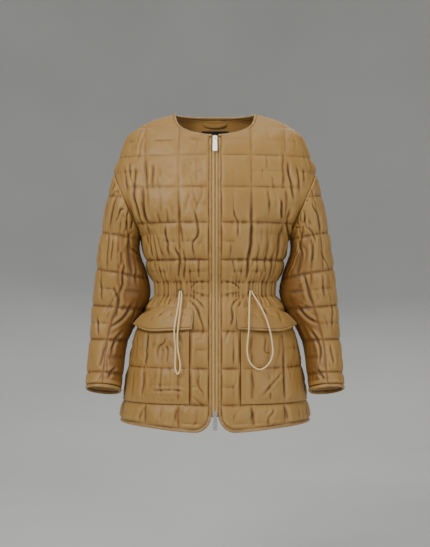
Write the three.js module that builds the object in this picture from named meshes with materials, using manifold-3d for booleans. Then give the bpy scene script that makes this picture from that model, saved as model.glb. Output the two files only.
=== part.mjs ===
// Quilted jacket with a drawcord waist, in the hollow shape it has when worn.
// Millimetres, +Z up. The front faces -Y and left in the names is the side at -X.
// The origin is midway between the two points where the neckline meets the shoulder seams.
import * as THREE from 'three';
import { mergeVertices } from 'three/addons/utils/BufferGeometryUtils.js';
import Module from 'manifold-3d';

const wasm = await Module();
wasm.setup();

// Driving dimensions of the cloth
const SEAM_GAP = 0.3;
const BIG = 400;
const WALL = 2.6;
const PITCH = 82;
const PUFF = 7;
const PUFF_REACH = 13;
const SHORT_LINE_DEPTH = 0.55;
const CHEST = { flat: 0.55, top: -140, low: -290 };
const CASING_RISE = 1.2;
const SEAM_HALF_GAP = 0.2;
const ALMOST = 0.01;
const SECTION_POWER = 2.2;
const BINDING_WIDTH = 6;
const EDGE_X = 7.3;
const EDGE_TOP = -64;
const CORNER = { x: 46, z: -688 };
const CORNER_STEPS = 8;
const EDGE_STEP = { fine: 13, coarse: 39, change: -100 };

// Armhole: a slanted oval from the shoulder point down to the underarm point
const ARMHOLE = { topX: 234, topZ: -141, lowX: 171, lowZ: -284, halfDepth: 77 };

// Torso sections: height, half width where the sleeve leaves it free, depth in front and behind
const TORSO = [
  { z: 4, half: 84, front: 1, back: 72 },
  { z: 1, half: 93, front: 3, back: 75 },
  { z: -3, half: 109, front: 8, back: 78 },
  { z: -8, half: 128, front: 14, back: 81 },
  { z: -16, half: 149, front: 24, back: 84 },
  { z: -33, half: 180, front: 45, back: 89 },
  { z: -50, half: 200, front: 68, back: 93 },
  { z: -58, half: 206, front: 77, back: 95 },
  { z: -76, half: 214, front: 87, back: 99 },
  { z: -104, half: 224, front: 98, back: 104 },
  { z: -141, half: 234, front: 110, back: 109 },
  { z: -178, half: 200, front: 119, back: 113 },
  { z: -212, half: 190, front: 126, back: 117 },
  { z: -259, half: 178, front: 131, back: 120 },
  { z: -284, half: 171, front: 132, back: 121 },
  { z: -313, half: 166, front: 131, back: 120 },
  { z: -343, half: 159, front: 127, back: 118 },
  { z: -370, half: 152, front: 121, back: 114 },
  { z: -393, half: 142, front: 114, back: 109 },
  { z: -425, half: 140, front: 113, back: 108 },
  { z: -445, half: 155, front: 121, back: 115 },
  { z: -470, half: 168, front: 127, back: 121 },
  { z: -504, half: 181, front: 133, back: 127 },
  { z: -545, half: 191, front: 139, back: 133 },
  { z: -587, half: 199, front: 144, back: 138 },
  { z: -628, half: 206, front: 148, back: 142 },
  { z: -668, half: 213, front: 151, back: 146 },
  { z: -710, half: 220, front: 154, back: 150 },
  { z: -745, half: 225, front: 156, back: 152 },
];

// Heights of the stitched rows round the body; the fifth and sixth hold the drawcord
const ROWS = [-33, -104, -178, -259, -343, -393, -425, -504, -587, -668, -750];
const CASING_ROW = 5;
const GRID_TOP = [4, -1, -8, -16];
const UNDERARM_SNAP = 6;
const UNDERARM_FLAT = 30;
const SHOULDER_FADE = 45;
const STEPS_IN_ROW = [4, 4, 4, 4, 2, 2, 4, 4, 4, 4];

// Columns of the body's grid in quilt squares from the centre line to the side seam
const FRONT_COLUMNS = [0.165, 0.33, 0.5, 0.69, 1, 1.25, 1.5, 1.75, 2, 2.25, 2.5, 2.75, 3, 3.25, 3.5];
const BACK_COLUMNS = [0, 0.25, 0.5, 0.75, 1, 1.25, 1.5, 1.75, 2, 2.25, 2.5, 2.75, 3, 3.25, 3.5];
const STRAIGHT_SQUARES = 2;
const SIDE_SQUARES = 3.5;

// Short lines of stitching inside the squares, in parts of a square from its inner top corner
const MOTIFS = [
  [{ u0: 0.5, v0: 0, u1: 0.5, v1: 0.5 }, { u0: 0.5, v0: 0.5, u1: 1, v1: 0.5 }],
  [{ u0: 0.5, v0: 0.5, u1: 0.5, v1: 1 }],
  [{ u0: 0, v0: 0.5, u1: 0.5, v1: 0.5 }, { u0: 0.5, v0: 0.5, u1: 0.5, v1: 1 }],
  [{ u0: 0, v0: 0.5, u1: 1, v1: 0.5 }],
  [{ u0: 0.5, v0: 0, u1: 0.5, v1: 1 }],
];

// Gathers at the drawcord
const GATHER = { rise: 1.7, reach: 42, z: -409, flatten: 0.4, squeeze: 0.84, squeezeReach: 60 };

// Neckline ovals seen from above: the free edge and the seam to the panels
const NECK_EDGE = { half: 91.5, front: 74.5, back: 72 };
const NECK_SEAM = { half: 97, front: 79, back: 77.5 };

// Hem edge: height at each distance from the centre line, in front and behind
const HEM_FRONT = [
  { x: 46, z: -729 }, { x: 93, z: -726 }, { x: 136, z: -722 }, { x: 186, z: -718.5 }, { x: 240, z: -715 },
];
const HEM_BACK = [
  { x: 0, z: -727 }, { x: 93, z: -725 }, { x: 150, z: -721 }, { x: 240, z: -715 },
];
const HEM_SIDE = { x: 240, z: -716, gap: 1.5 };
const HEM_START_GAP = 1.2;

// Sleeve sections: outer and inner end, half depth, shift along Y, drop of the back edge
const SLEEVE = [
  { ox: 234.6, oz: -141, ix: 171.6, iz: -284.4, deep: 77, y: 0, tilt: 0, row: 0 },
  { ox: 249, oz: -193, ix: 178, iz: -303, deep: 77, y: 0, tilt: 0, row: 1 },
  { ox: 264, oz: -278, ix: 178, iz: -334, deep: 74, y: 0, tilt: 0, row: 2 },
  { ox: 276, oz: -362, ix: 165, iz: -382, deep: 69, y: 0, tilt: 0, row: 3 },
  { ox: 282, oz: -411, ix: 157, iz: -424, deep: 66, y: 0, tilt: 0, row: 3.58 },
  { ox: 286, oz: -447, ix: 168, iz: -457, deep: 63, y: -2, tilt: 1, row: 4 },
  { ox: 290, oz: -527, ix: 204, iz: -531, deep: 56, y: -14, tilt: 4, row: 5 },
  { ox: 294, oz: -604, ix: 214, iz: -609, deep: 47, y: -42, tilt: 9, row: 6 },
  { ox: 296, oz: -632, ix: 217, iz: -638, deep: 44, y: -52, tilt: 11, row: 6.44 },
  { ox: 297, oz: -640, ix: 218, iz: -646, deep: 43, y: -55, tilt: 12, row: 6.52 },
];
const SLEEVE_STEPS_PER_ROW = 4;
const SLEEVE_COLUMNS = 24;
const SLEEVE_PUFF = 5.5;
const SLEEVE_INNER_LOSS = 0.75;
const SQUARES_ROUND = { top: 6, low: 4, change: 3 };

// Zip
const ZIP = { halfWidth: 7, top: -57, bottom: -690, gap: 0.2, rise: 0.6 };
const SLIDER = { length: 11, width: 9.5, thick: 3, topZ: -66, bottomZ: -685 };
const BRIDGE = { halfWidth: 1.2, thick: 0.9, window: 2.3, halfSpan: 3.5 };
const BRIDGE_ROOT = 0.4;
const PULL = {
  length: 38, topWidth: 9, endWidth: 10.6, thick: 1.6, slot: 4, slotEnd: 4.9, barRadius: 0.75, shoulder: 2.5,
};

// Pockets and flaps, in quilt squares from the centre line and heights
const POCKET = { firstColumn: 3, lastColumn: 13, top: -484.25, bottom: -668, thick: 3, puff: 5.5 };
const PLAIN_UNDER = { from: 0.45, top: -444, bottom: -669 };
const FLAP = [
  { s: 0, top: { x: 45, z: -453 }, low: { x: 50, z: -501 } },
  { s: 0.5, top: { x: 88, z: -451 }, low: { x: 100, z: -505 } },
  { s: 0.82, top: { x: 128, z: -453 }, low: { x: 147, z: -507 } },
  { s: 1, top: { x: 158, z: -470 }, low: { x: 174, z: -496 } },
];
const FLAP_LIFT = { top: 0.4, low: 9, end: 6 };
const FLAP_THICK = 4;
const FLAP_CROWN = 1.5;
const FLAP_STEPS = { along: 12, down: 4 };
const FLAP_INSET = { along: 0.035, down: 0.1 };

// Drawcords: x and z on the front, and how far the cord's middle is forward of the base surface
const CORD_DIAMETER = 3.3;
const EYELET = { z: -414, halfWidth: 7.5, halfHeight: 5, hole: 0.62, thick: 1.4 };
const CORDS = {
  left: {
    eyelet: -76,
    route: [
      { x: -79.7, z: -414, out: 4.6 }, { x: -79.9, z: -414.6, out: 9 }, { x: -80, z: -418, out: 14.5 },
      { x: -80.4, z: -426, out: 17.5 }, { x: -82, z: -440, out: 18.5 }, { x: -85, z: -460, out: 19.5 },
      { x: -88.5, z: -480, out: 21 }, { x: -91, z: -501, out: 22.5 }, { x: -90.5, z: -519, out: 21 },
      { x: -88.5, z: -538, out: 18.5 }, { x: -88.5, z: -560, out: 17.5 }, { x: -89, z: -578, out: 17.5 },
      { x: -87, z: -592, out: 17.5 }, { x: -83, z: -598, out: 17.5 }, { x: -79, z: -592, out: 17.5 },
      { x: -77.5, z: -578, out: 17.5 }, { x: -80, z: -560, out: 18 }, { x: -83, z: -540, out: 20 },
      { x: -83.5, z: -520, out: 22.5 }, { x: -83, z: -501, out: 23 }, { x: -81, z: -480, out: 21 },
      { x: -78.5, z: -460, out: 19.5 }, { x: -76.5, z: -440, out: 18.5 }, { x: -75.4, z: -426, out: 17.5 },
      { x: -75.5, z: -418, out: 14.5 }, { x: -75.9, z: -414.6, out: 9 }, { x: -76, z: -414, out: 4.6 },
    ],
  },
  right: {
    eyelet: 80,
    route: [
      { x: 79.6, z: -414, out: 4.6 }, { x: 79.7, z: -414.6, out: 9 }, { x: 79, z: -418, out: 14.5 },
      { x: 78, z: -427, out: 17.5 }, { x: 77, z: -445, out: 18.5 }, { x: 76.5, z: -465, out: 19.5 },
      { x: 75.8, z: -485, out: 21 }, { x: 75, z: -504, out: 22.5 }, { x: 72.8, z: -524, out: 20 },
      { x: 71.5, z: -544, out: 17.5 }, { x: 75, z: -566, out: 17.5 }, { x: 86, z: -582, out: 17.5 },
      { x: 100, z: -588, out: 18 }, { x: 114, z: -582, out: 19 }, { x: 125, z: -568, out: 20 },
      { x: 129.5, z: -550, out: 21.5 }, { x: 128, z: -530, out: 23.5 }, { x: 124.5, z: -508, out: 26 },
      { x: 118, z: -484, out: 25 }, { x: 109, z: -461, out: 22.5 }, { x: 98, z: -440, out: 20 },
      { x: 88.5, z: -425, out: 17.5 }, { x: 84.6, z: -418, out: 14.5 }, { x: 83.7, z: -414.6, out: 9 },
      { x: 83.6, z: -414, out: 4.6 },
    ],
  },
};
const CORD_STEPS = 40;
const CORD_SIDES = 8;

// Inside the back neck
const LABEL = { halfWidth: 32, top: -27, bottom: -57, thick: 0.9 };
const LOOP = { halfWidth: 29, top: -9, width: 7, sag: 6, thick: 1.4, off: 3.5 };

// Materials
const SATIN = { color: 0xa8895e, roughness: 0.5, metalness: 0 };
const TRIM = { color: 0x967648, roughness: 0.55, metalness: 0 };
const TAPE = { color: 0x7d6038, roughness: 0.8, metalness: 0 };
const CORD = { color: 0xdcc8a5, roughness: 0.8, metalness: 0 };
const STEEL = { color: 0xd2d2d2, roughness: 0.25, metalness: 1 };
const BRASS = { color: 0x7c6f45, roughness: 0.4, metalness: 1 };
const BLACK = { color: 0x101010, roughness: 0.7, metalness: 0 };

const jacket = new THREE.Group();

// Adds one named piece to the jacket
function add(name, geometry, finish, parent = jacket) {
  const mesh = new THREE.Mesh(geometry, new THREE.MeshStandardMaterial(finish));
  mesh.name = name;
  parent.add(mesh);
  return mesh;
}

// Smooth value of a table's column between its rows, which run downwards in key
function look(table, key, at, column) {
  const last = table.length - 1;
  const sign = Math.sign(table[last][key] - table[0][key]);
  let i = 0;
  while (i < last - 1 && sign * (at - table[i + 1][key]) > 0) i += 1;
  const slope = (k) => {
    const a = table[Math.max(k - 1, 0)];
    const b = table[Math.min(k + 1, last)];
    return (b[column] - a[column]) / (b[key] - a[key]);
  };
  const a = table[i];
  const b = table[i + 1];
  const span = b[key] - a[key];
  const t = (at - a[key]) / span;
  if (t < 0) return a[column] + (at - a[key]) * slope(i);
  if (t > 1) return b[column] + (at - b[key]) * slope(i + 1);
  const h1 = t * t * (3 - 2 * t);
  const rise = t * (1 - t) * (1 - t) * span * slope(i) - t * t * (1 - t) * span * slope(i + 1);
  return a[column] * (1 - h1) + b[column] * h1 + rise;
}

// Half depth of the armhole and x of its plane at a height
function armhole(z) {
  const part = (z - ARMHOLE.lowZ) / (ARMHOLE.topZ - ARMHOLE.lowZ);
  const across = 2 * part - 1;
  const inside = Math.max(0, 1 - across * across);
  const x = ARMHOLE.lowX + part * (ARMHOLE.topX - ARMHOLE.lowX);
  return { x, deep: ARMHOLE.halfDepth * Math.sqrt(inside) };
}

// Half width and depth of a section; beside the armhole it is as wide as the armhole's depth asks
function section(face, z) {
  const depth = look(TORSO, 'z', z, face);
  if (z > ARMHOLE.topZ || z < ARMHOLE.lowZ) return { half: look(TORSO, 'z', z, 'half'), depth };
  const hole = armhole(z);
  const rest = 1 - (hole.deep / depth) ** SECTION_POWER;
  return { half: hole.x / rest ** (1 / SECTION_POWER), depth };
}

// Quarter of a section as points from the centre line to the side, with the length so far
function quarter(face, z) {
  const { half, depth } = section(face, z);
  const steps = 60;
  const points = [];
  let length = 0;
  for (let i = 0; i <= steps; i += 1) {
    const angle = (i / steps) * (Math.PI / 2);
    const x = half * Math.sin(angle) ** (2 / SECTION_POWER);
    const y = depth * Math.abs(Math.cos(angle)) ** (2 / SECTION_POWER);
    if (i > 0) length += Math.hypot(x - points[i - 1].x, y - points[i - 1].y);
    points.push({ x, y: i === steps ? 0 : y, length });
  }
  return points;
}

const quarters = new Map();

function cachedQuarter(face, z) {
  const key = `${face}${z.toFixed(4)}`;
  if (!quarters.has(key)) quarters.set(key, quarter(face, z));
  return quarters.get(key);
}

// How far the drawcord draws the squares together at a height
function squeeze(z) {
  const away = (z - GATHER.z) / GATHER.squeezeReach;
  return 1 - (1 - GATHER.squeeze) * Math.exp(-away * away);
}

// Point of the body's base surface at so many squares from the centre line
function basePoint(face, side, squares, z) {
  const points = cachedQuarter(face, z);
  const total = points[points.length - 1].length;
  const straight = Math.min(STRAIGHT_SQUARES * PITCH * squeeze(z), total * 0.8);
  const u = Math.abs(squares);
  const past = (u - STRAIGHT_SQUARES) / (SIDE_SQUARES - STRAIGHT_SQUARES);
  const beyond = straight + past * (total - straight);
  const along = u <= STRAIGHT_SQUARES ? (straight * u) / STRAIGHT_SQUARES : beyond;
  let i = 1;
  while (i < points.length - 1 && points[i].length < along) i += 1;
  const a = points[i - 1];
  const b = points[i];
  const t = Math.min(1, (along - a.length) / (b.length - a.length));
  const forward = face === 'front' ? -1 : 1;
  return new THREE.Vector3(side * (a.x + t * (b.x - a.x)), forward * (a.y + t * (b.y - a.y)), z);
}

// A rough outward vector leans up by this much, because the shoulders face up
const ROUGH_UP = 40;

// Outward direction from two tangents, checked against a rough outward vector
function outward(alongU, alongV, rough) {
  const normal = new THREE.Vector3().crossVectors(alongU, alongV).normalize();
  if (normal.dot(rough) < 0) normal.negate();
  return normal;
}

function bodyNormal(face, side, squares, z) {
  const du = 0.06;
  const dz = 3;
  const u = Math.min(Math.abs(squares), SIDE_SQUARES - du);
  const alongU = basePoint(face, side, u + du, z).sub(basePoint(face, side, Math.max(u - du, 0), z));
  const alongV = basePoint(face, side, u, z + dz).sub(basePoint(face, side, u, z - dz));
  const at = basePoint(face, side, u, z);
  const normal = outward(alongU, alongV, new THREE.Vector3(at.x, at.y, ROUGH_UP));
  if (Math.abs(squares) > SIDE_SQUARES - ALMOST) normal.setY(0).normalize();
  return normal;
}

// Point over the base surface; at the side seam it keeps the seam's gap to the other panel
function bodyPoint(face, side, squares, z, lift) {
  const normal = bodyNormal(face, side, squares, z);
  const point = basePoint(face, side, squares, z).addScaledVector(normal, lift);
  if (Math.abs(squares) > SIDE_SQUARES - ALMOST) point.y = (face === 'front' ? -1 : 1) * SEAM_HALF_GAP;
  return point;
}

// Point of the base surface under x and z of the front view, moved out by lift
function facePoint(face, x, z, lift) {
  const at = (px, pz) => {
    const { half, depth } = section(face, pz);
    const rest = Math.max(0, 1 - Math.abs(px / half) ** SECTION_POWER);
    return new THREE.Vector3(px, (face === 'front' ? -1 : 1) * depth * rest ** (1 / SECTION_POWER), pz);
  };
  const point = at(x, z);
  const step = 1.5;
  const alongX = at(x + step, z).sub(at(x - step, z));
  const alongZ = at(x, z + step).sub(at(x, z - step));
  const normal = outward(alongX, alongZ, new THREE.Vector3(x, point.y, ROUGH_UP));
  return point.addScaledVector(normal, lift);
}

// Row of stitching as a running number, whole on each stitched row
function rowNumber(z) {
  if (z >= ROWS[0]) return (ROWS[0] - z) / PITCH;
  let i = 0;
  while (i < ROWS.length - 2 && z < ROWS[i + 1]) i += 1;
  return i + (z - ROWS[i]) / (ROWS[i + 1] - ROWS[i]);
}

// Distance in squares from a point of a square to a short stitched line
function lineDistance(u, v, line) {
  const du = line.u1 - line.u0;
  const dv = line.v1 - line.v0;
  const t = ((u - line.u0) * du + (v - line.v0) * dv) / (du * du + dv * dv);
  const k = Math.min(1, Math.max(0, t));
  return Math.hypot(u - line.u0 - k * du, v - line.v0 - k * dv);
}

// Rise of the quilting over its seams, for squares across and rows down
function quilting(u, v, rise, shift) {
  const column = Math.floor(u);
  const row = Math.floor(v);
  const fu = u - column;
  const fv = v - row;
  const near = Math.min(fu, 1 - fu, fv, 1 - fv);
  const motif = MOTIFS[(((column * 2 + row * 3 + shift) % MOTIFS.length) + MOTIFS.length) % MOTIFS.length];
  const nearLine = Math.min(...motif.map((line) => lineDistance(fu, fv, line)));
  const dip = (distance) => Math.exp((-distance * PITCH) / PUFF_REACH);
  return rise * (1 - dip(near)) * (1 - SHORT_LINE_DEPTH * dip(nearLine));
}

// Smooth step from 0 at one value to 1 at another
function smoothStep(from, to, at) {
  const t = Math.min(1, Math.max(0, (at - from) / (to - from)));
  return t * t * (3 - 2 * t);
}

// Rise of the body's cloth at a grid point, with the gathers round the drawcord
function bodyRise(face, side, u, z, covered) {
  const away = (z - GATHER.z) / GATHER.reach;
  const fade = Math.exp(-away * away);
  const gather = GATHER.rise * fade * (1 + Math.cos(4 * Math.PI * u));
  const v = rowNumber(z);
  const inCasing = v >= CASING_ROW && v <= CASING_ROW + 1;
  if (covered && u > PLAIN_UNDER.from && z < PLAIN_UNDER.top && z > PLAIN_UNDER.bottom) return 0;
  if (u > SIDE_SQUARES - ALMOST || (u > 3 && Math.abs(z - ARMHOLE.lowZ) < UNDERARM_FLAT)) return 0;
  const chest = CHEST.flat + (1 - CHEST.flat) * smoothStep(CHEST.top, CHEST.low, z);
  const quilted = chest * quilting(u, v, PUFF, side + 2);
  const rise = inCasing ? CASING_RISE * (1 - Math.abs(2 * (v - CASING_ROW) - 1)) : quilted;
  const ridge = Math.min(1, Math.max(0, -z / SHOULDER_FADE));
  return rise * (1 - GATHER.flatten * fade) * ridge + gather;
}

// Heights of the grid's rows from the top down
function gridHeights() {
  const heights = [...GRID_TOP];
  STEPS_IN_ROW.forEach((steps, row) => {
    for (let k = 0; k < steps; k += 1) {
      const z = ROWS[row] + (k / steps) * (ROWS[row + 1] - ROWS[row]);
      heights.push(Math.abs(z - ARMHOLE.lowZ) < UNDERARM_SNAP ? ARMHOLE.lowZ : z);
    }
  });
  heights.push(ROWS[ROWS.length - 1]);
  return heights;
}

// Closed wall between a fine outer grid and an inner grid that has every second point
function wall(outer, inner, closed) {
  const rows = outer.length - 1;
  const columns = outer[0].length - (closed ? 0 : 1);
  const width = outer[0].length;
  const innerWidth = inner[0].length;
  const points = [...outer.flat(), ...inner.flat()];
  const outerAt = (i, j) => i * width + (closed ? j % width : j);
  const innerStart = outer.length * width;
  const innerAt = (i, j) => innerStart + (i / 2) * innerWidth + (closed ? (j / 2) % innerWidth : j / 2);
  const faces = [];
  const quad = (a, b, c, d) => faces.push(a, b, c, a, c, d);
  for (let i = 0; i < rows; i += 1) {
    for (let j = 0; j < columns; j += 1) {
      quad(outerAt(i, j), outerAt(i + 1, j), outerAt(i + 1, j + 1), outerAt(i, j + 1));
    }
  }
  for (let i = 0; i < rows; i += 2) {
    for (let j = 0; j < columns; j += 2) {
      quad(innerAt(i, j), innerAt(i, j + 2), innerAt(i + 2, j + 2), innerAt(i + 2, j));
    }
  }
  const rim = (o0, o1, o2, n0, n2) => faces.push(o0, o1, n0, o1, o2, n2, o1, n2, n0);
  for (let j = 0; j < columns; j += 2) {
    rim(outerAt(0, j), outerAt(0, j + 1), outerAt(0, j + 2), innerAt(0, j), innerAt(0, j + 2));
    rim(outerAt(rows, j + 2), outerAt(rows, j + 1), outerAt(rows, j), innerAt(rows, j + 2), innerAt(rows, j));
  }
  for (let i = 0; i < rows && !closed; i += 2) {
    rim(outerAt(i + 2, 0), outerAt(i + 1, 0), outerAt(i, 0), innerAt(i + 2, 0), innerAt(i, 0));
    rim(
      outerAt(i, columns), outerAt(i + 1, columns), outerAt(i + 2, columns),
      innerAt(i, columns), innerAt(i + 2, columns),
    );
  }
  return closedGeometry(points, faces);
}

// Geometry from points and faces, turned so that the faces point out
function closedGeometry(points, faces) {
  let volume = 0;
  const cross = new THREE.Vector3();
  for (let k = 0; k < faces.length; k += 3) {
    volume += cross.crossVectors(points[faces[k]], points[faces[k + 1]]).dot(points[faces[k + 2]]);
  }
  if (volume < 0) faces.reverse();
  const geometry = new THREE.BufferGeometry();
  const numbers = points.flatMap((p) => [p.x, p.y, p.z]);
  geometry.setAttribute('position', new THREE.Float32BufferAttribute(numbers, 3));
  geometry.setIndex(faces);
  return geometry;
}

// Ring of section points at each station, closed at both ends
function loft(rings, ringClosed = false) {
  const size = rings[0].length;
  const points = rings.flat();
  const faces = [];
  const count = ringClosed ? rings.length : rings.length - 1;
  for (let i = 0; i < count; i += 1) {
    const next = ((i + 1) % rings.length) * size;
    for (let j = 0; j < size; j += 1) {
      const k = (j + 1) % size;
      faces.push(i * size + j, i * size + k, next + k, i * size + j, next + k, next + j);
    }
  }
  for (let j = 1; j < size - 1 && !ringClosed; j += 1) {
    faces.push(0, j + 1, j);
    const end = (rings.length - 1) * size;
    faces.push(end, end + j, end + j + 1);
  }
  return closedGeometry(points, faces);
}

function toManifold(geometry) {
  const bare = geometry.clone();
  bare.deleteAttribute('normal');
  bare.deleteAttribute('uv');
  const merged = mergeVertices(bare, 1e-4);
  return new wasm.Manifold(new wasm.Mesh({
    numProp: 3,
    vertProperties: new Float32Array(merged.attributes.position.array),
    triVerts: new Uint32Array(merged.index.array),
  }));
}

// Largest piece of a cut solid, as geometry again
function fromManifold(solid) {
  const pieces = solid.decompose().sort((a, b) => b.volume() - a.volume());
  const mesh = pieces[0].getMesh();
  const geometry = new THREE.BufferGeometry();
  geometry.setAttribute('position', new THREE.Float32BufferAttribute(mesh.vertProperties, 3));
  geometry.setIndex(new THREE.Uint32BufferAttribute(mesh.triVerts, 1));
  return geometry;
}

// Oval of the neckline seen from above, by angle from the centre front
function neckOval(oval, angle) {
  const c = Math.cos(angle);
  const s = Math.sin(angle);
  const deep = c > 0 ? -oval.front : oval.back;
  return {
    x: oval.half * Math.sign(s) * Math.abs(s) ** (2 / SECTION_POWER),
    y: deep * Math.abs(c) ** (2 / SECTION_POWER),
  };
}

// Height where the base surface passes a point seen from above, found by halving
function heightAbove(x, y) {
  const face = y < 0 ? 'front' : 'back';
  const halvings = 40;
  let high = GRID_TOP[0];
  let low = -120;
  for (let i = 0; i < halvings; i += 1) {
    const middle = (high + low) / 2;
    const { half, depth } = section(face, middle);
    const sum = Math.abs(x / half) ** SECTION_POWER + Math.abs(y / depth) ** SECTION_POWER;
    if (sum > 1) high = middle;
    else low = middle;
  }
  return (high + low) / 2;
}

// Upright prism inside the neckline's seam, which cuts the panels there
function neckCutter() {
  const shape = new THREE.Shape();
  const steps = 60;
  const low = -130;
  const high = 30;
  for (let i = 0; i < steps; i += 1) {
    const p = neckOval(NECK_SEAM, (i / steps) * 2 * Math.PI);
    if (i === 0) shape.moveTo(p.x, p.y);
    else shape.lineTo(p.x, p.y);
  }
  const prism = new THREE.ExtrudeGeometry(shape, { depth: high - low, bevelEnabled: false });
  prism.translate(0, 0, low);
  return toManifold(prism);
}

// Prism along Y from an outline in x and z
function prismAlongY(outline, fromY, toY) {
  const shape = new THREE.Shape(outline.map((p) => new THREE.Vector2(p.x, p.z)));
  const prism = new THREE.ExtrudeGeometry(shape, { depth: toY - fromY, bevelEnabled: false });
  prism.rotateX(Math.PI / 2);
  prism.translate(0, toY, 0);
  return toManifold(prism);
}

// Heights down the front edge, closer together where the chest is most curved
function edgeHeights(top, bottom) {
  const heights = [];
  const step = (z) => (z > EDGE_STEP.change ? EDGE_STEP.fine : EDGE_STEP.coarse);
  for (let z = top; z > bottom + EDGE_STEP.fine; z -= step(z)) heights.push(z);
  return heights;
}

// Free edge of the front from the neck down and round the corner to the hem
function frontEdgePath() {
  const path = edgeHeights(EDGE_TOP, CORNER.z).map((z) => ({ x: EDGE_X, z }));
  for (let i = 0; i <= CORNER_STEPS; i += 1) {
    const angle = (i / CORNER_STEPS) * (Math.PI / 2);
    path.push({
      x: CORNER.x - (CORNER.x - EDGE_X) * Math.cos(angle),
      z: CORNER.z - (CORNER.z - HEM_FRONT[0].z) * Math.sin(angle),
    });
  }
  return path;
}

// A path moved sideways, to the left of its run when the shift is positive
function shifted(path, shift) {
  return path.map((p, i) => {
    const a = path[Math.max(i - 1, 0)];
    const b = path[Math.min(i + 1, path.length - 1)];
    const length = Math.hypot(b.x - a.x, b.z - a.z);
    return { x: p.x - ((b.z - a.z) / length) * shift, z: p.z + ((b.x - a.x) / length) * shift };
  });
}

function hemPath(table, fromX, toX, steps) {
  const path = [];
  for (let i = 0; i <= steps; i += 1) {
    const x = fromX + ((toX - fromX) * i) / steps;
    path.push({ x, z: look(table, 'x', Math.abs(x), 'z') });
  }
  return path;
}

function mirrored(path, side) {
  return path.map((p) => ({ x: side * p.x, z: p.z }));
}

// Everything beyond the slanted armhole on one side
function armholeCutter(side) {
  const slope = (ARMHOLE.topX - ARMHOLE.lowX) / (ARMHOLE.topZ - ARMHOLE.lowZ);
  const reach = 60;
  const outline = [
    { x: ARMHOLE.lowX, z: ARMHOLE.lowZ },
    { x: BIG, z: ARMHOLE.lowZ - BIG / 4 },
    { x: BIG, z: ARMHOLE.topZ + reach },
    { x: ARMHOLE.topX + slope * reach, z: ARMHOLE.topZ + reach },
  ];
  return prismAlongY(mirrored(outline, side), -BIG, BIG);
}

// Front panel of one side
function frontPanel(side) {
  const heights = gridHeights();
  const outer = heights.map((z) => FRONT_COLUMNS.map((u) => (
    bodyPoint('front', side, u, z, bodyRise('front', side, u, z, true))
  )));
  const inner = heights.filter((z, i) => i % 2 === 0).map((z) => (
    FRONT_COLUMNS.filter((u, j) => j % 2 === 0).map((u) => bodyPoint('front', side, u, z, -WALL))
  ));
  const seam = BINDING_WIDTH + SEAM_GAP;
  const edge = shifted(frontEdgePath(), seam);
  const pastCorner = CORNER.x + 8;
  const hem = shifted(hemPath(HEM_FRONT, pastCorner, HEM_SIDE.x, 6), seam);
  const outline = [
    { x: EDGE_X + seam, z: BIG }, { x: EDGE_X + seam, z: EDGE_TOP }, ...edge, ...hem,
    { x: BIG, z: hem[hem.length - 1].z }, { x: BIG, z: BIG },
  ];
  const keep = prismAlongY(mirrored(outline, side), -BIG, -SEAM_HALF_GAP / 2);
  const panel = toManifold(wall(outer, inner, false)).intersect(keep);
  return fromManifold(panel.subtract(neckCutter()).subtract(armholeCutter(side)));
}

// Back panel, cut in one piece
function backPanel() {
  const heights = gridHeights();
  const columns = [...BACK_COLUMNS.slice(1).map((u) => -u).reverse(), ...BACK_COLUMNS];
  const at = (u, z, lift) => bodyPoint('back', u < 0 ? -1 : 1, Math.abs(u), z, lift);
  const outer = heights.map((z) => columns.map((u) => (
    at(u, z, bodyRise('back', u < 0 ? -1 : 1, Math.abs(u), z, false))
  )));
  const inner = heights.filter((z, i) => i % 2 === 0).map((z) => (
    columns.filter((u, j) => j % 2 === 0).map((u) => at(u, z, -WALL))
  ));
  const seam = BINDING_WIDTH + SEAM_GAP;
  const hem = shifted(hemPath(HEM_BACK, -HEM_SIDE.x, HEM_SIDE.x, 14), seam);
  const low = hem[0].z;
  const outline = [{ x: -BIG, z: BIG }, { x: -BIG, z: low }, ...hem, { x: BIG, z: low }, { x: BIG, z: BIG }];
  const keep = prismAlongY(outline, SEAM_HALF_GAP / 2, BIG);
  const panel = toManifold(wall(outer, inner, false)).intersect(keep).subtract(neckCutter());
  return fromManifold(panel.subtract(armholeCutter(-1)).subtract(armholeCutter(1)));
}

// Section of a folded binding: part of its width from the seam, and lift
const BINDING_SECTION = [
  { part: 0, lift: -WALL }, { part: 0, lift: 1 }, { part: 0.5, lift: 2.2 },
  { part: 0.94, lift: 1.2 }, { part: 1, lift: -0.6 }, { part: 0.94, lift: -WALL },
];

// Binding between its seam and its free edge, both given as points with a normal
function binding(stations, profile = BINDING_SECTION) {
  return loft(stations.map(({ seam, edge, normal, seamUp }) => profile.map(({ part, lift }) => (
    seam.clone().lerp(edge, part).addScaledVector(part === 0 && seamUp ? seamUp : normal, lift)
  ))));
}

// Station of a binding on the front or back, from its two paths
function faceStation(face, seam, edge) {
  const a = facePoint(face, seam.x, seam.z, 0);
  const b = facePoint(face, edge.x, edge.z, 0);
  const normal = facePoint(face, seam.x, seam.z, 1).sub(a);
  return { seam: a, edge: b, normal };
}

function frontBinding(side) {
  const path = frontEdgePath();
  const seam = mirrored(shifted(path, BINDING_WIDTH), side);
  return binding(mirrored(path, side).map((p, i) => faceStation('front', seam[i], p)));
}

function hemBinding(face, table, fromX, toX, steps, side = 1) {
  const path = hemPath(table, fromX, toX, steps);
  const seam = mirrored(shifted(path, BINDING_WIDTH), side);
  return binding(mirrored(path, side).map((p, i) => faceStation(face, seam[i], p)));
}

// X where the body's side is at the hem, less a small gap
function sideX(face) {
  return section(face, HEM_SIDE.z).half - HEM_SIDE.gap;
}

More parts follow.
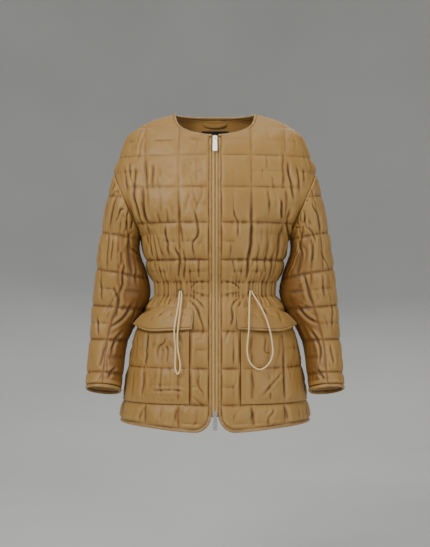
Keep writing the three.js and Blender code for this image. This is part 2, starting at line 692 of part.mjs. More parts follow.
function neckBinding() {
  const steps = 36;
  const ahead = 0.02;
  const roughUp = 120;
  const shrink = 1 - SEAM_GAP / NECK_EDGE.half;
  const start = Math.asin((EDGE_X / NECK_EDGE.half) ** (SECTION_POWER / 2));
  const stations = [];
  for (let i = 0; i <= steps; i += 1) {
    const angle = start + ((2 * Math.PI - 2 * start) * i) / steps;
    const outer = neckOval(NECK_SEAM, angle);
    const inner = neckOval(NECK_EDGE, angle);
    const seam = new THREE.Vector3(outer.x * shrink, outer.y * shrink, heightAbove(outer.x, outer.y));
    const edge = new THREE.Vector3(inner.x, inner.y, heightAbove(inner.x, inner.y));
    const next = neckOval(NECK_SEAM, angle + ahead);
    const run = new THREE.Vector3(next.x, next.y, heightAbove(next.x, next.y)).sub(seam);
    const normal = outward(run, edge.clone().sub(seam), new THREE.Vector3(seam.x, seam.y, roughUp));
    stations.push({ seam, edge, normal, seamUp: new THREE.Vector3(0, 0, 1 / Math.max(normal.z, 0.5)) });
  }
  return binding(stations);
}

// Point of a sleeve: angle from its outer edge towards the front
function sleevePoint(side, row, angle, lift) {
  const value = (column) => look(SLEEVE, 'row', row, column);
  const outer = { x: value('ox'), z: value('oz') };
  const inner = { x: value('ix'), z: value('iz') };
  const middle = new THREE.Vector3((outer.x + inner.x) / 2, value('y'), (outer.z + inner.z) / 2);
  const axis = new THREE.Vector3((outer.x - inner.x) / 2, 0, (outer.z - inner.z) / 2);
  const c = Math.cos(angle);
  const s = Math.sin(angle);
  const deep = value('deep') + lift;
  const reach = axis.length();
  const point = middle.addScaledVector(axis.normalize(), (reach + lift) * c);
  point.y -= deep * s;
  point.z += value('tilt') * s;
  point.x *= side;
  return point;
}

// Rise of the sleeve's quilting; less on the side that faces the body
function sleeveRise(row, angle) {
  const count = row < SQUARES_ROUND.change ? SQUARES_ROUND.top : SQUARES_ROUND.low;
  const rise = quilting((angle / (2 * Math.PI)) * count, row, SLEEVE_PUFF, 1);
  const inner = 0.5 - 0.5 * Math.cos(angle);
  return rise * (1 - SLEEVE_INNER_LOSS * inner * inner);
}

function sleeve(side) {
  const lastRow = SLEEVE[SLEEVE.length - 2].row;
  const rows = [];
  for (let k = 0; k / SLEEVE_STEPS_PER_ROW < lastRow - 0.1; k += 1) rows.push(k / SLEEVE_STEPS_PER_ROW);
  if (rows.length % 2 === 1) rows.pop();
  rows.push(lastRow);
  while (rows.length % 2 === 0) rows.splice(rows.length - 1, 0, (rows[rows.length - 2] + lastRow) / 2);
  const ring = (row, count, lift) => Array.from({ length: count }, (_, k) => {
    const angle = (k / count) * 2 * Math.PI;
    return sleevePoint(side, row, angle, lift(angle));
  });
  const edge = (row) => (row === 0 || row === lastRow ? 0 : 1);
  const outer = rows.map((row) => ring(row, SLEEVE_COLUMNS, (angle) => edge(row) * sleeveRise(row, angle)));
  const inner = rows.filter((row, i) => i % 2 === 0).map((row) => ring(row, SLEEVE_COLUMNS / 2, () => -WALL));
  return wall(outer, inner, true);
}

function cuffBinding(side) {
  const top = SLEEVE[SLEEVE.length - 2].row;
  const low = SLEEVE[SLEEVE.length - 1].row;
  const count = 24;
  const drop = new THREE.Vector3(0, 0, -SEAM_GAP);
  const stations = Array.from({ length: count }, (_, k) => {
    const angle = (k / count) * 2 * Math.PI;
    const seam = sleevePoint(side, top, angle, 0).add(drop);
    const edge = sleevePoint(side, low, angle, 0).add(drop);
    const normal = sleevePoint(side, top, angle, 1).add(drop).sub(seam);
    return { seam, edge, normal };
  });
  return loft(stations.map(({ seam, edge, normal }) => BINDING_SECTION.map(({ part, lift }) => (
    seam.clone().lerp(edge, part).addScaledVector(normal, lift)
  ))), true);
}

// Zip tape of one side, with the room for its teeth in the middle
function zipTape(side) {
  const profile = [
    { part: 0, lift: -2 }, { part: 0, lift: -0.4 }, { part: 0.7, lift: -0.2 },
    { part: 0.8, lift: ZIP.rise }, { part: 1, lift: ZIP.rise }, { part: 1, lift: -2 },
  ];
  const heights = [...edgeHeights(ZIP.top, ZIP.bottom), ZIP.bottom];
  return binding(heights.map((z) => (
    faceStation('front', { x: side * ZIP.halfWidth, z }, { x: side * ZIP.gap, z })
  )), profile);
}

// Closed outline extruded along Y, centred on y = 0
function plate(outline, thick, holes = []) {
  const shape = new THREE.Shape(outline.map((p) => new THREE.Vector2(p.x, p.z)));
  for (const hole of holes) shape.holes.push(new THREE.Path(hole.map((p) => new THREE.Vector2(p.x, p.z))));
  const solid = new THREE.ExtrudeGeometry(shape, { depth: thick, bevelEnabled: false });
  solid.translate(0, 0, -thick / 2);
  solid.rotateX(Math.PI / 2);
  return solid;
}

function box(width, deep, high, x, y, z) {
  const solid = new THREE.BoxGeometry(width, deep, high);
  solid.translate(x, y, z);
  return toManifold(solid);
}

// Slider with a bridge; its own y = 0 is the bridge window's middle
function sliderSolid() {
  const half = SLIDER.length / 2;
  const wide = SLIDER.width / 2;
  const outline = [
    { x: -wide * 0.72, z: -half }, { x: wide * 0.72, z: -half }, { x: wide * 0.8, z: 0 },
    { x: wide, z: half * 0.7 }, { x: wide * 0.6, z: half }, { x: -wide * 0.6, z: half },
    { x: -wide, z: half * 0.7 }, { x: -wide * 0.8, z: 0 },
  ];
  const face = plate(outline, SLIDER.thick);
  const floor = BRIDGE.window / 2;
  face.translate(0, floor + SLIDER.thick / 2, 0);
  const high = BRIDGE.window + BRIDGE.thick + BRIDGE_ROOT;
  const block = box(2 * BRIDGE.halfWidth, high, 2 * BRIDGE.halfSpan, 0, floor + BRIDGE_ROOT - high / 2, 0);
  const opening = box(4 * BRIDGE.halfWidth, BRIDGE.window, 2 * (BRIDGE.halfSpan - BRIDGE.thick), 0, 0, 0);
  return fromManifold(toManifold(face).add(block.subtract(opening)));
}

// Pull tab that hangs from the slider's bridge, with its hinge line through the origin
function pullSolid() {
  const bar = PULL.barRadius;
  const a = PULL.topWidth / 2;
  const b = PULL.endWidth / 2;
  const narrowEnd = -PULL.slotEnd - PULL.shoulder;
  const wideEnd = -PULL.length + PULL.shoulder;
  const outline = [
    { x: -a, z: -bar }, { x: -a * 0.94, z: bar * 0.4 }, { x: -a * 0.6, z: bar }, { x: a * 0.6, z: bar },
    { x: a * 0.94, z: bar * 0.4 }, { x: a, z: -bar }, { x: a, z: narrowEnd }, { x: b, z: wideEnd },
    { x: b * 0.8, z: -PULL.length }, { x: -b * 0.8, z: -PULL.length }, { x: -b, z: wideEnd },
    { x: -a, z: narrowEnd },
  ];
  const s = PULL.slot / 2;
  const hole = [{ x: -s, z: -bar }, { x: -s, z: -PULL.slotEnd }, { x: s, z: -PULL.slotEnd }, { x: s, z: -bar }];
  return plate(outline, PULL.thick, [hole]);
}

// Turned group that stands on the zip at a height, with y = 0 at the bridge window
function zipPlace(z) {
  const step = 4;
  const lift = ZIP.rise + SEAM_GAP + SLIDER.thick + BRIDGE.window / 2;
  const a = facePoint('front', 0, z + step, 0);
  const b = facePoint('front', 0, z - step, 0);
  const tilt = Math.atan2(b.y - a.y, a.z - b.z);
  const group = new THREE.Group();
  group.position.copy(facePoint('front', 0, z, lift));
  group.rotation.x = tilt;
  jacket.add(group);
  return group;
}

// Pocket, made from the front panel's own points moved out
function pocket(side) {
  const heights = gridHeights().filter((z) => z <= POCKET.top + ALMOST && z >= POCKET.bottom - ALMOST);
  const columns = FRONT_COLUMNS.slice(POCKET.firstColumn, POCKET.lastColumn + 1);
  const last = { row: heights.length - 1, column: columns.length - 1 };
  const outer = heights.map((z, i) => columns.map((u, j) => {
    const border = i === 0 || j === 0 || i === last.row || j === last.column;
    const rise = border ? 0 : quilting(u, rowNumber(z), POCKET.puff, side + 2);
    return bodyPoint('front', side, u, z, SEAM_GAP + POCKET.thick + rise);
  }));
  const inner = heights.map((z) => columns.map((u) => bodyPoint('front', side, u, z, SEAM_GAP)));
  return skin(outer, inner);
}

// Closed wall between two grids of the same size
function skin(outer, inner) {
  const rows = outer.length;
  const columns = outer[0].length;
  const points = [...outer.flat(), ...inner.flat()];
  const at = (layer, i, j) => layer * rows * columns + i * columns + j;
  const faces = [];
  const quad = (a, b, c, d) => faces.push(a, b, c, a, c, d);
  for (let i = 0; i < rows - 1; i += 1) {
    for (let j = 0; j < columns - 1; j += 1) {
      quad(at(0, i, j), at(0, i + 1, j), at(0, i + 1, j + 1), at(0, i, j + 1));
      faces.push(at(1, i, j), at(1, i, j + 1), at(1, i + 1, j + 1));
      faces.push(at(1, i, j), at(1, i + 1, j + 1), at(1, i + 1, j));
    }
  }
  for (let j = 0; j < columns - 1; j += 1) {
    quad(at(0, 0, j), at(0, 0, j + 1), at(1, 0, j + 1), at(1, 0, j));
    quad(at(0, rows - 1, j + 1), at(0, rows - 1, j), at(1, rows - 1, j), at(1, rows - 1, j + 1));
  }
  for (let i = 0; i < rows - 1; i += 1) {
    quad(at(0, i + 1, 0), at(0, i, 0), at(1, i, 0), at(1, i + 1, 0));
    quad(at(0, i, columns - 1), at(0, i + 1, columns - 1), at(1, i + 1, columns - 1), at(1, i, columns - 1));
  }
  return closedGeometry(points, faces);
}

// Point of a pocket flap: part of its length from the centre, part of its depth
function flapPoint(side, s, t, more) {
  const edge = (which, axis) => {
    const rows = FLAP.map((row) => ({ s: row.s, value: row[which][axis] }));
    return look(rows, 's', s, 'value');
  };
  const x = edge('top', 'x') * (1 - t) + edge('low', 'x') * t;
  const z = edge('top', 'z') * (1 - t) + edge('low', 'z') * t;
  const lift = FLAP_LIFT.top + (FLAP_LIFT.low - FLAP_LIFT.top) * t ** 0.8 + FLAP_LIFT.end * s ** 4;
  return facePoint('front', side * x, z, lift + more);
}

function flap(side) {
  const { along, down } = FLAP_STEPS;
  const grid = (more) => Array.from({ length: down + 1 }, (_, i) => (
    Array.from({ length: along + 1 }, (__, j) => {
      const s = FLAP_INSET.along + ((1 - 2 * FLAP_INSET.along) * j) / along;
      const t = (1 - FLAP_INSET.down) * (i / down);
      const crown = i > 0 && i < down && j > 0 && j < along ? FLAP_CROWN : 0;
      return flapPoint(side, s, t, more > 0 ? more + crown : 0);
    })
  ));
  return skin(grid(FLAP_THICK), grid(0));
}

// Binding round the two ends and the lower edge of a flap
function flapBinding(side) {
  const path = [];
  const ends = 3;
  const along = 10;
  const gapS = 0.003;
  const gapT = 0.008;
  const low = 1 - FLAP_INSET.down + gapT;
  const startS = FLAP_INSET.along - gapS;
  for (let i = 0; i < ends; i += 1) path.push({ s0: startS, t0: (low * i) / ends, s1: 0, t1: i / ends });
  path.push({ s0: startS, t0: low, s1: 0, t1: 1 });
  for (let i = 1; i < along; i += 1) {
    const s = i / along;
    path.push({ s0: s, t0: low, s1: s, t1: 1 });
  }
  path.push({ s0: 1 - startS, t0: low, s1: 1, t1: 1 });
  for (let i = ends - 1; i >= 0; i -= 1) {
    path.push({ s0: 1 - startS, t0: (low * i) / ends, s1: 1, t1: i / ends });
  }
  return binding(path.map(({ s0, t0, s1, t1 }) => {
    const seam = flapPoint(side, s0, t0, FLAP_THICK);
    const edge = flapPoint(side, s1, t1, FLAP_THICK);
    const normal = flapPoint(side, s0, t0, FLAP_THICK + 1).sub(seam);
    return { seam, edge, normal };
  }), [
    { part: 0, lift: -FLAP_THICK }, { part: 0, lift: 0.6 }, { part: 0.6, lift: 1.2 },
    { part: 1, lift: 0 }, { part: 1, lift: -FLAP_THICK },
  ]);
}

// Cord along its route, out of the eyelet and back to it
function cord({ route }) {
  const points = route.map(({ x, z, out }) => facePoint('front', x, z, 0).add(new THREE.Vector3(0, -out, 0)));
  const path = new THREE.CatmullRomCurve3(points, false, 'centripetal');
  const shape = new THREE.Shape();
  for (let i = 0; i < CORD_SIDES; i += 1) {
    const angle = (i / CORD_SIDES) * 2 * Math.PI;
    const x = (CORD_DIAMETER / 2) * Math.cos(angle);
    const y = (CORD_DIAMETER / 2) * Math.sin(angle);
    if (i === 0) shape.moveTo(x, y);
    else shape.lineTo(x, y);
  }
  return new THREE.ExtrudeGeometry(shape, { steps: CORD_STEPS, extrudePath: path, bevelEnabled: false });
}

// Distance along a ray to a piece, or null
function firstHit(mesh, from, direction) {
  mesh.updateMatrixWorld(true);
  mesh.material.side = THREE.DoubleSide;
  const hits = new THREE.Raycaster(from, direction).intersectObject(mesh, false);
  mesh.material.side = THREE.FrontSide;
  return hits.length ? hits[0].point : null;
}

// Oval eyelet that lies on the casing, just clear of its highest point
function eyelet(x, panel) {
  const steps = 20;
  const inside = -60;
  const oval = (scale) => Array.from({ length: steps }, (_, i) => {
    const angle = (i / steps) * 2 * Math.PI;
    return {
      x: EYELET.halfWidth * scale * Math.cos(angle),
      z: EYELET.halfHeight * scale * Math.sin(angle),
    };
  });
  const solid = plate(oval(1), EYELET.thick, [oval(EYELET.hole).reverse()]);
  const turn = new THREE.Matrix4();
  const place = facePoint('front', x, EYELET.z, 0);
  const normal = facePoint('front', x, EYELET.z, 1).sub(place);
  const across = new THREE.Vector3(-normal.y, normal.x, 0).normalize();
  const up = new THREE.Vector3().crossVectors(across, normal).normalize();
  turn.makeBasis(across, normal.clone().negate(), up.z > 0 ? up : up.negate());
  solid.applyMatrix4(turn);
  let rise = -BIG;
  for (const scale of [1, EYELET.hole]) {
    for (const p of oval(scale)) {
      const start = new THREE.Vector3(p.x, inside, p.z).applyMatrix4(turn).add(place);
      const hit = firstHit(panel, start, normal.clone().negate());
      if (hit) rise = Math.max(rise, hit.sub(place).dot(normal));
    }
  }
  const seat = place.addScaledVector(normal, rise + SEAM_GAP + EYELET.thick / 2);
  solid.translate(seat.x, seat.y, seat.z);
  return solid;
}

// Strip on the inside of the back neck, from heights by x and how far it stands off
function insideStrip(halfWidth, steps, top, low, thick, off, panel) {
  let seat = BIG;
  for (let i = 0; i <= steps; i += 1) {
    const x = -halfWidth + (2 * halfWidth * i) / steps;
    for (const z of [top(x), (top(x) + low(x)) / 2, low(x)]) {
      const hit = firstHit(panel, new THREE.Vector3(x, 0, z), new THREE.Vector3(0, 1, 0));
      if (hit) seat = Math.min(seat, hit.y - facePoint('back', x, z, 0).y);
    }
  }
  const at = (x, z, more) => {
    const point = facePoint('back', x, z, 0);
    point.y += seat - SEAM_GAP - more;
    return point;
  };
  const grid = (more) => [0, 0.5, 1].map((t) => Array.from({ length: steps + 1 }, (_, i) => {
    const x = -halfWidth + (2 * halfWidth * i) / steps;
    return at(x, top(x) * (1 - t) + low(x) * t, more + off(x / halfWidth));
  }));
  return skin(grid(thick), grid(0));
}

function buildCloth() {
  const panels = {};
  for (const [side, sign] of [['left', -1], ['right', 1]]) {
    panels[side] = add(`front_${side}`, frontPanel(sign), SATIN);
    add(`sleeve_${side}`, sleeve(sign), SATIN);
    add(`cuff_binding_${side}`, cuffBinding(sign), TRIM);
    add(`front_binding_${side}`, frontBinding(sign), TRIM);
    const start = CORNER.x + HEM_START_GAP;
    add(`hem_binding_${side}`, hemBinding('front', HEM_FRONT, start, sideX('front'), 10, sign), TRIM);
    add(`pocket_${side}`, pocket(sign), SATIN);
    add(`pocket_flap_${side}`, flap(sign), SATIN);
    add(`flap_binding_${side}`, flapBinding(sign), TRIM);
    add(`zip_tape_${side}`, zipTape(sign), TAPE);
    add(`drawcord_${side}`, cord(CORDS[side]), CORD);
    add(`eyelet_${side}`, eyelet(CORDS[side].eyelet, panels[side]), BRASS);
  }
  const back = add('back', backPanel(), SATIN);
  const side = sideX('back');
  add('hem_binding_back', hemBinding('back', HEM_BACK, -side, side, 16), TRIM);
  add('neck_binding', neckBinding(), TRIM);
  add('neck_label', insideStrip(
    LABEL.halfWidth, 4, () => LABEL.top, () => LABEL.bottom, LABEL.thick, () => 0, back,
  ), BLACK);
  const drop = (x) => LOOP.sag * (1 - (x / LOOP.halfWidth) ** 2);
  add('hanger_loop', insideStrip(
    LOOP.halfWidth, 10, (x) => LOOP.top - drop(x), (x) => LOOP.top - LOOP.width - drop(x),
    LOOP.thick, (part) => LOOP.off * (1 - part ** 4), back,
  ), SATIN);
}

function buildZipFittings() {
  for (const [name, z] of [['top', SLIDER.topZ], ['bottom', SLIDER.bottomZ]]) {
    const place = zipPlace(z);
    add(`slider_${name}`, sliderSolid(), STEEL, place);
    add(`pull_${name}`, pullSolid(), STEEL, place);
  }
}

buildCloth();
buildZipFittings();

export default jacket;
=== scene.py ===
"""Looks of a quilted jacket with a drawcord waist, laid out as an add-on and run as a script.

Every size is in millimetres until a mesh is made. The front faces -Y, left in a name is the side at -X,
and the origin is midway between the two points where the neckline meets the shoulder seams.
"""

import math

import bpy
import numpy as np
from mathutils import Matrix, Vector


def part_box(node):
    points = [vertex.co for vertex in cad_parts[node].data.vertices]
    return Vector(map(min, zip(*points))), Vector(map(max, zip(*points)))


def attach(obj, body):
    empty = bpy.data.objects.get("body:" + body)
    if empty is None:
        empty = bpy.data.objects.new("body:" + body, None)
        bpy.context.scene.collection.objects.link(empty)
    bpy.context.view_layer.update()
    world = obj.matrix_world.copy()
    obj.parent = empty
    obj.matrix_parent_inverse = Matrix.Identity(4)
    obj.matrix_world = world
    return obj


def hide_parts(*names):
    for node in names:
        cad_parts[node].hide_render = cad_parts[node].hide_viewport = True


bl_info = {
    "name": "Quilted Jacket",
    "version": (1, 0, 0),
    "blender": (4, 5, 0),
    "location": "3D View > Sidebar > Jacket",
    "description": "Makes the looks of a quilted jacket around its packed parts",
    "category": "Object",
}

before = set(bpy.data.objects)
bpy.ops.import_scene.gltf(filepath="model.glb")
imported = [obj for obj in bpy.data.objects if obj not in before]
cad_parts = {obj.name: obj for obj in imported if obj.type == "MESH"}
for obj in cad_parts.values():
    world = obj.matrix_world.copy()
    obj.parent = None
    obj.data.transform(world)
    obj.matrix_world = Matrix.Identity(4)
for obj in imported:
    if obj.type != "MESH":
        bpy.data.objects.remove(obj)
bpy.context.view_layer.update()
MM = 0.001
BODY = "jacket"


def table(columns, rows):
    """Rows of numbers under named columns."""
    return dict(zip(columns.split(), np.array(rows, float).T))


# Driving dimensions of the cloth, as in the solids
SEAM_GAP = 0.3
WALL = 2.6
PITCH = 82.0
SECTION_POWER = 2.2
BINDING_WIDTH = 6.0
EDGE_X = 7.3
CORNER_X, CORNER_Z = 46.0, -688.0
ARMHOLE_TOP_X, ARMHOLE_TOP_Z = 234.0, -141.0
ARMHOLE_LOW_X, ARMHOLE_LOW_Z = 171.0, -284.0
ARMHOLE_HALF_DEPTH = 77.0
STRAIGHT_SQUARES = 2.0
SIDE_SQUARES = 3.5
GATHER_Z = -409.0
GATHER_SQUEEZE, GATHER_REACH = 0.84, 60.0
CASING_TOP, CASING_LOW = -393.0, -425.0

# Torso sections: height, half width where the sleeve leaves it free, depth in front and behind
TORSO = table("z half front back", [
    (4, 84, 1, 72), (1, 93, 3, 75), (-3, 109, 8, 78), (-8, 128, 14, 81), (-16, 149, 24, 84),
    (-33, 180, 45, 89), (-50, 200, 68, 93), (-58, 206, 77, 95), (-76, 214, 87, 99),
    (-104, 224, 98, 104), (-141, 234, 110, 109), (-178, 200, 119, 113), (-212, 190, 126, 117),
    (-259, 178, 131, 120), (-284, 171, 132, 121), (-313, 166, 131, 120), (-343, 159, 127, 118),
    (-370, 152, 121, 114), (-393, 142, 114, 109), (-425, 140, 113, 108), (-445, 155, 121, 115),
    (-470, 168, 127, 121), (-504, 181, 133, 127), (-545, 191, 139, 133), (-587, 199, 144, 138),
    (-628, 206, 148, 142), (-668, 213, 151, 146), (-710, 220, 154, 150), (-745, 225, 156, 152),
])
ROWS = np.array([-33, -104, -178, -259, -343, -393, -425, -504, -587, -668, -750], float)
BODY_TOP = 4.0

# Short lines of stitching inside the squares, in parts of a square from its inner top corner
MOTIFS = [
    [(0.5, 0, 0.5, 0.5), (0.5, 0.5, 1, 0.5)],
    [(0.5, 0.5, 0.5, 1)],
    [(0, 0.5, 0.5, 0.5), (0.5, 0.5, 0.5, 1)],
    [(0, 0.5, 1, 0.5)],
    [(0.5, 0, 0.5, 1)],
]

# Neckline ovals seen from above: half width, depth in front and behind
NECK_EDGE = (91.5, 74.5, 72.0)
NECK_SEAM = (97.0, 79.0, 77.5)

# Hem edge: height at each distance from the centre line
HEM_FRONT = table("x z", [(46, -729), (93, -726), (136, -722), (186, -718.5), (240, -715)])
HEM_BACK = table("x z", [(0, -727), (93, -725), (150, -721), (240, -715)])

# Sleeve sections: outer and inner end, half depth, shift along Y, drop of the back edge, quilt row
SLEEVE = table("ox oz ix iz deep y tilt row", [
    (234.6, -141, 171.6, -284.4, 77, 0, 0, 0), (249, -193, 178, -303, 77, 0, 0, 1),
    (264, -278, 178, -334, 74, 0, 0, 2), (276, -362, 165, -382, 69, 0, 0, 3),
    (282, -411, 157, -424, 66, 0, 0, 3.58), (286, -447, 168, -457, 63, -2, 1, 4),
    (290, -527, 204, -531, 56, -14, 4, 5), (294, -604, 214, -609, 47, -42, 9, 6),
    (296, -632, 217, -638, 44, -52, 11, 6.44), (297, -640, 218, -646, 43, -55, 12, 6.52),
])
CUFF_ROW, CUFF_EDGE_ROW = 6.44, 6.52
ROW_SLOPE = 0.2

# Zip, pockets, flaps, label and loop
ZIP_HALF_WIDTH, ZIP_TOP, ZIP_BOTTOM = 7.0, -57.0, -690.0
POCKET = {"inner": 0.69, "outer": 3.25, "top": -484.25, "bottom": -668.0, "thick": 3.0, "puff": 5.5}
PLAIN_UNDER = {"from": 0.45, "top": -444.0, "bottom": -669.0}
FLAP = table("s top_x top_z low_x low_z", [
    (0, 45, -453, 50, -501), (0.5, 88, -451, 100, -505), (0.82, 128, -453, 147, -507), (1, 158, -470, 174, -496),
])
FLAP_LIFT_TOP, FLAP_LIFT_LOW, FLAP_LIFT_END = 0.4, 9.0, 6.0
FLAP_THICK = 4.0
LABEL = {"half_width": 32.0, "top": -27.0, "bottom": -57.0, "thick": 0.9}
LOOP = {"half_width": 29.0, "top": -9.0, "width": 7.0, "sag": 6.0, "thick": 1.4, "off": 3.5}

# Drawcords: x and z on the front, and how far the cord's middle is forward of the base surface
CORD_DIAMETER = 3.3
CORD_ROUTES = {
    "left": [
        (-79.7, -414, 4.6), (-79.9, -414.6, 9), (-80, -418, 14.5), (-80.4, -426, 17.5), (-82, -440, 18.5),
        (-85, -460, 19.5), (-88.5, -480, 21), (-91, -501, 22.5), (-90.5, -519, 21), (-88.5, -538, 18.5),
        (-88.5, -560, 17.5), (-89, -578, 17.5), (-87, -592, 17.5), (-83, -598, 17.5), (-79, -592, 17.5),
        (-77.5, -578, 17.5), (-80, -560, 18), (-83, -540, 20), (-83.5, -520, 22.5), (-83, -501, 23),
        (-81, -480, 21), (-78.5, -460, 19.5), (-76.5, -440, 18.5), (-75.4, -426, 17.5), (-75.5, -418, 14.5),
        (-75.9, -414.6, 9), (-76, -414, 4.6),
    ],
    "right": [
        (79.6, -414, 4.6), (79.7, -414.6, 9), (79, -418, 14.5), (78, -427, 17.5), (77, -445, 18.5),
        (76.5, -465, 19.5), (75.8, -485, 21), (75, -504, 22.5), (72.8, -524, 20), (71.5, -544, 17.5),
        (75, -566, 17.5), (86, -582, 17.5), (100, -588, 18), (114, -582, 19), (125, -568, 20),
        (129.5, -550, 21.5), (128, -530, 23.5), (124.5, -508, 26), (118, -484, 25), (109, -461, 22.5),
        (98, -440, 20), (88.5, -425, 17.5), (84.6, -418, 14.5), (83.7, -414.6, 9), (83.6, -414, 4.6),
    ],
}


def look(rows, key, at, column):
    """Smooth value of a table's column between its rows."""
    keys, values = rows[key], rows[column]
    at = np.asarray(at, float)
    sign = np.sign(keys[-1] - keys[0])
    i = np.clip(np.searchsorted(sign * keys, sign * at) - 1, 0, len(keys) - 2)
    order = np.arange(len(keys))
    before, after = np.maximum(order - 1, 0), np.minimum(order + 1, len(keys) - 1)
    slope = (values[after] - values[before]) / (keys[after] - keys[before])
    span = keys[i + 1] - keys[i]
    t = (at - keys[i]) / span
    h = t * t * (3 - 2 * t)
    bend = t * (1 - t) ** 2 * span * slope[i] - t * t * (1 - t) * span * slope[i + 1]
    inside = values[i] * (1 - h) + values[i + 1] * h + bend
    below = values[i] + (at - keys[i]) * slope[i]
    above = values[i + 1] + (at - keys[i + 1]) * slope[i + 1]
    return np.where(t < 0, below, np.where(t > 1, above, inside))


def armhole(z):
    """X of the armhole's plane and its half depth at a height."""
    part = (z - ARMHOLE_LOW_Z) / (ARMHOLE_TOP_Z - ARMHOLE_LOW_Z)
    inside = np.maximum(0, 1 - (2 * part - 1) ** 2)
    return ARMHOLE_LOW_X + part * (ARMHOLE_TOP_X - ARMHOLE_LOW_X), ARMHOLE_HALF_DEPTH * np.sqrt(inside)


def beside_armhole(z):
    return (z <= ARMHOLE_TOP_Z) & (z >= ARMHOLE_LOW_Z)


def section(face, z):
    """Half width and depth of a torso section."""
    depth = look(TORSO, "z", z, face)
    x, deep = armhole(z)
    rest = 1 - np.minimum(deep / depth, 0.98) ** SECTION_POWER
    return np.where(beside_armhole(z), x / rest ** (1 / SECTION_POWER), look(TORSO, "z", z, "half")), depth


QUARTER_TURN = np.linspace(0, math.pi / 2, 61)
QUARTER_X = np.sin(QUARTER_TURN) ** (2 / SECTION_POWER)
QUARTER_Y = np.abs(np.cos(QUARTER_TURN)) ** (2 / SECTION_POWER)
QUARTER_Y[-1] = 0


def quarter(face, z):
    """Quarter sections from the centre line to the side: x, y and the length so far."""
    half, depth = section(face, z)
    x = half[..., None] * QUARTER_X
    y = depth[..., None] * QUARTER_Y
    steps = np.hypot(np.diff(x), np.diff(y))
    length = np.concatenate([np.zeros(steps.shape[:-1] + (1,)), np.cumsum(steps, -1)], -1)
    return x, y, length


def squeeze(z):
    """How far the drawcord draws the squares together at a height."""
    return 1 - (1 - GATHER_SQUEEZE) * np.exp(-(((z - GATHER_Z) / GATHER_REACH) ** 2))


def pick(values, index):
    return np.take_along_axis(values, index[..., None], -1)[..., 0]


def base_point(face, side, squares, z):
    """Points of the body's base surface at so many squares from the centre line."""
    squares, z, side = np.broadcast_arrays(np.asarray(squares, float), np.asarray(z, float), side)
    x, y, length = quarter(face, z)
    total = length[..., -1]
    straight = np.minimum(STRAIGHT_SQUARES * PITCH * squeeze(z), total * 0.8)
    past = (squares - STRAIGHT_SQUARES) / (SIDE_SQUARES - STRAIGHT_SQUARES)
    along = np.where(squares <= STRAIGHT_SQUARES, straight * squares / STRAIGHT_SQUARES,
                     straight + past * (total - straight))
    i = np.clip((length < along[..., None]).sum(-1), 1, length.shape[-1] - 1)
    low, high = pick(length, i - 1), pick(length, i)
    t = np.minimum(1, (along - low) / (high - low))
    px = pick(x, i - 1) + t * (pick(x, i) - pick(x, i - 1))
    py = pick(y, i - 1) + t * (pick(y, i) - pick(y, i - 1))
    return np.stack([side * px, (-1 if face == "front" else 1) * py, z], -1)


def unit(vectors):
    return vectors / np.maximum(np.linalg.norm(vectors, axis=-1, keepdims=True), 1e-9)


def outward(along_u, along_v, rough):
    """Unit normals from two tangents, turned to the side of a rough outward vector."""
    normal = unit(np.cross(along_u, along_v))
    flip = (normal * rough).sum(-1, keepdims=True) < 0
    return np.where(flip, -normal, normal)


ROUGH_UP = 40.0


def body_normal(face, side, squares, z):
    du, dz = 0.06, 3.0
    u = np.minimum(squares, SIDE_SQUARES - du)
    along_u = base_point(face, side, u + du, z) - base_point(face, side, np.maximum(u - du, 0), z)
    along_v = base_point(face, side, u, z + dz) - base_point(face, side, u, z - dz)
    rough = base_point(face, side, u, z)
    rough[..., 2] = ROUGH_UP
    normal = outward(along_u, along_v, rough)
    at_side = squares > SIDE_SQUARES - 0.01
    normal[..., 1] = np.where(at_side, 0, normal[..., 1])
    return unit(normal)


def face_point(face, x, z, lift=0.0):
    """Points of the base surface under x and z of the front view, moved out by lift, and their normals."""
    x, z, lift = np.broadcast_arrays(np.asarray(x, float), np.asarray(z, float), np.asarray(lift, float))
    forward = -1 if face == "front" else 1

    def at(px, pz):
        half, depth = section(face, pz)
        rest = np.maximum(0, 1 - np.abs(px / half) ** SECTION_POWER)
        return np.stack([px, forward * depth * rest ** (1 / SECTION_POWER), pz], -1)

    point = at(x, z)
    step = 1.5
    rough = np.stack([x, point[..., 1], np.full_like(x, ROUGH_UP)], -1)
    normal = outward(at(x + step, z) - at(x - step, z), at(x, z + step) - at(x, z - step), rough)
    return point + normal * lift[..., None], normal


def row_number(z):
    """Row of stitching as a running number, whole on each stitched row."""
    below = np.interp(-z, -ROWS, np.arange(len(ROWS)))
    return np.where(z >= ROWS[0], (ROWS[0] - z) / PITCH, below)


def seam_distances(u, v, shift):
    """Millimetres to the nearest seam between squares and to the nearest short line inside one."""
    column, row = np.floor(u), np.floor(v)
    fu, fv = u - column, v - row
    near = np.minimum(np.minimum(fu, 1 - fu), np.minimum(fv, 1 - fv))
    near_line = np.ones_like(near)
    chosen = np.mod(column * 2 + row * 3 + shift, len(MOTIFS)).astype(int)
    for number, motif in enumerate(MOTIFS):
        for u0, v0, u1, v1 in motif:
            du, dv = u1 - u0, v1 - v0
            t = np.clip(((fu - u0) * du + (fv - v0) * dv) / (du * du + dv * dv), 0, 1)
            gap = np.hypot(fu - u0 - t * du, fv - v0 - t * dv)
            near_line = np.where(chosen == number, np.minimum(near_line, gap), near_line)
    return near * PITCH, near_line * PITCH


PUFF_REACH, LINE_REACH = 11.0, 6.0
LINE_DEPTH = 0.45


def puffed(near, near_line):
    """Rise of the padding from 0 on a seam to nearly 1, with shallower dips along short lines."""
    return (1 - np.exp(-near / PUFF_REACH)) * (1 - LINE_DEPTH * np.exp(-near_line / LINE_REACH))


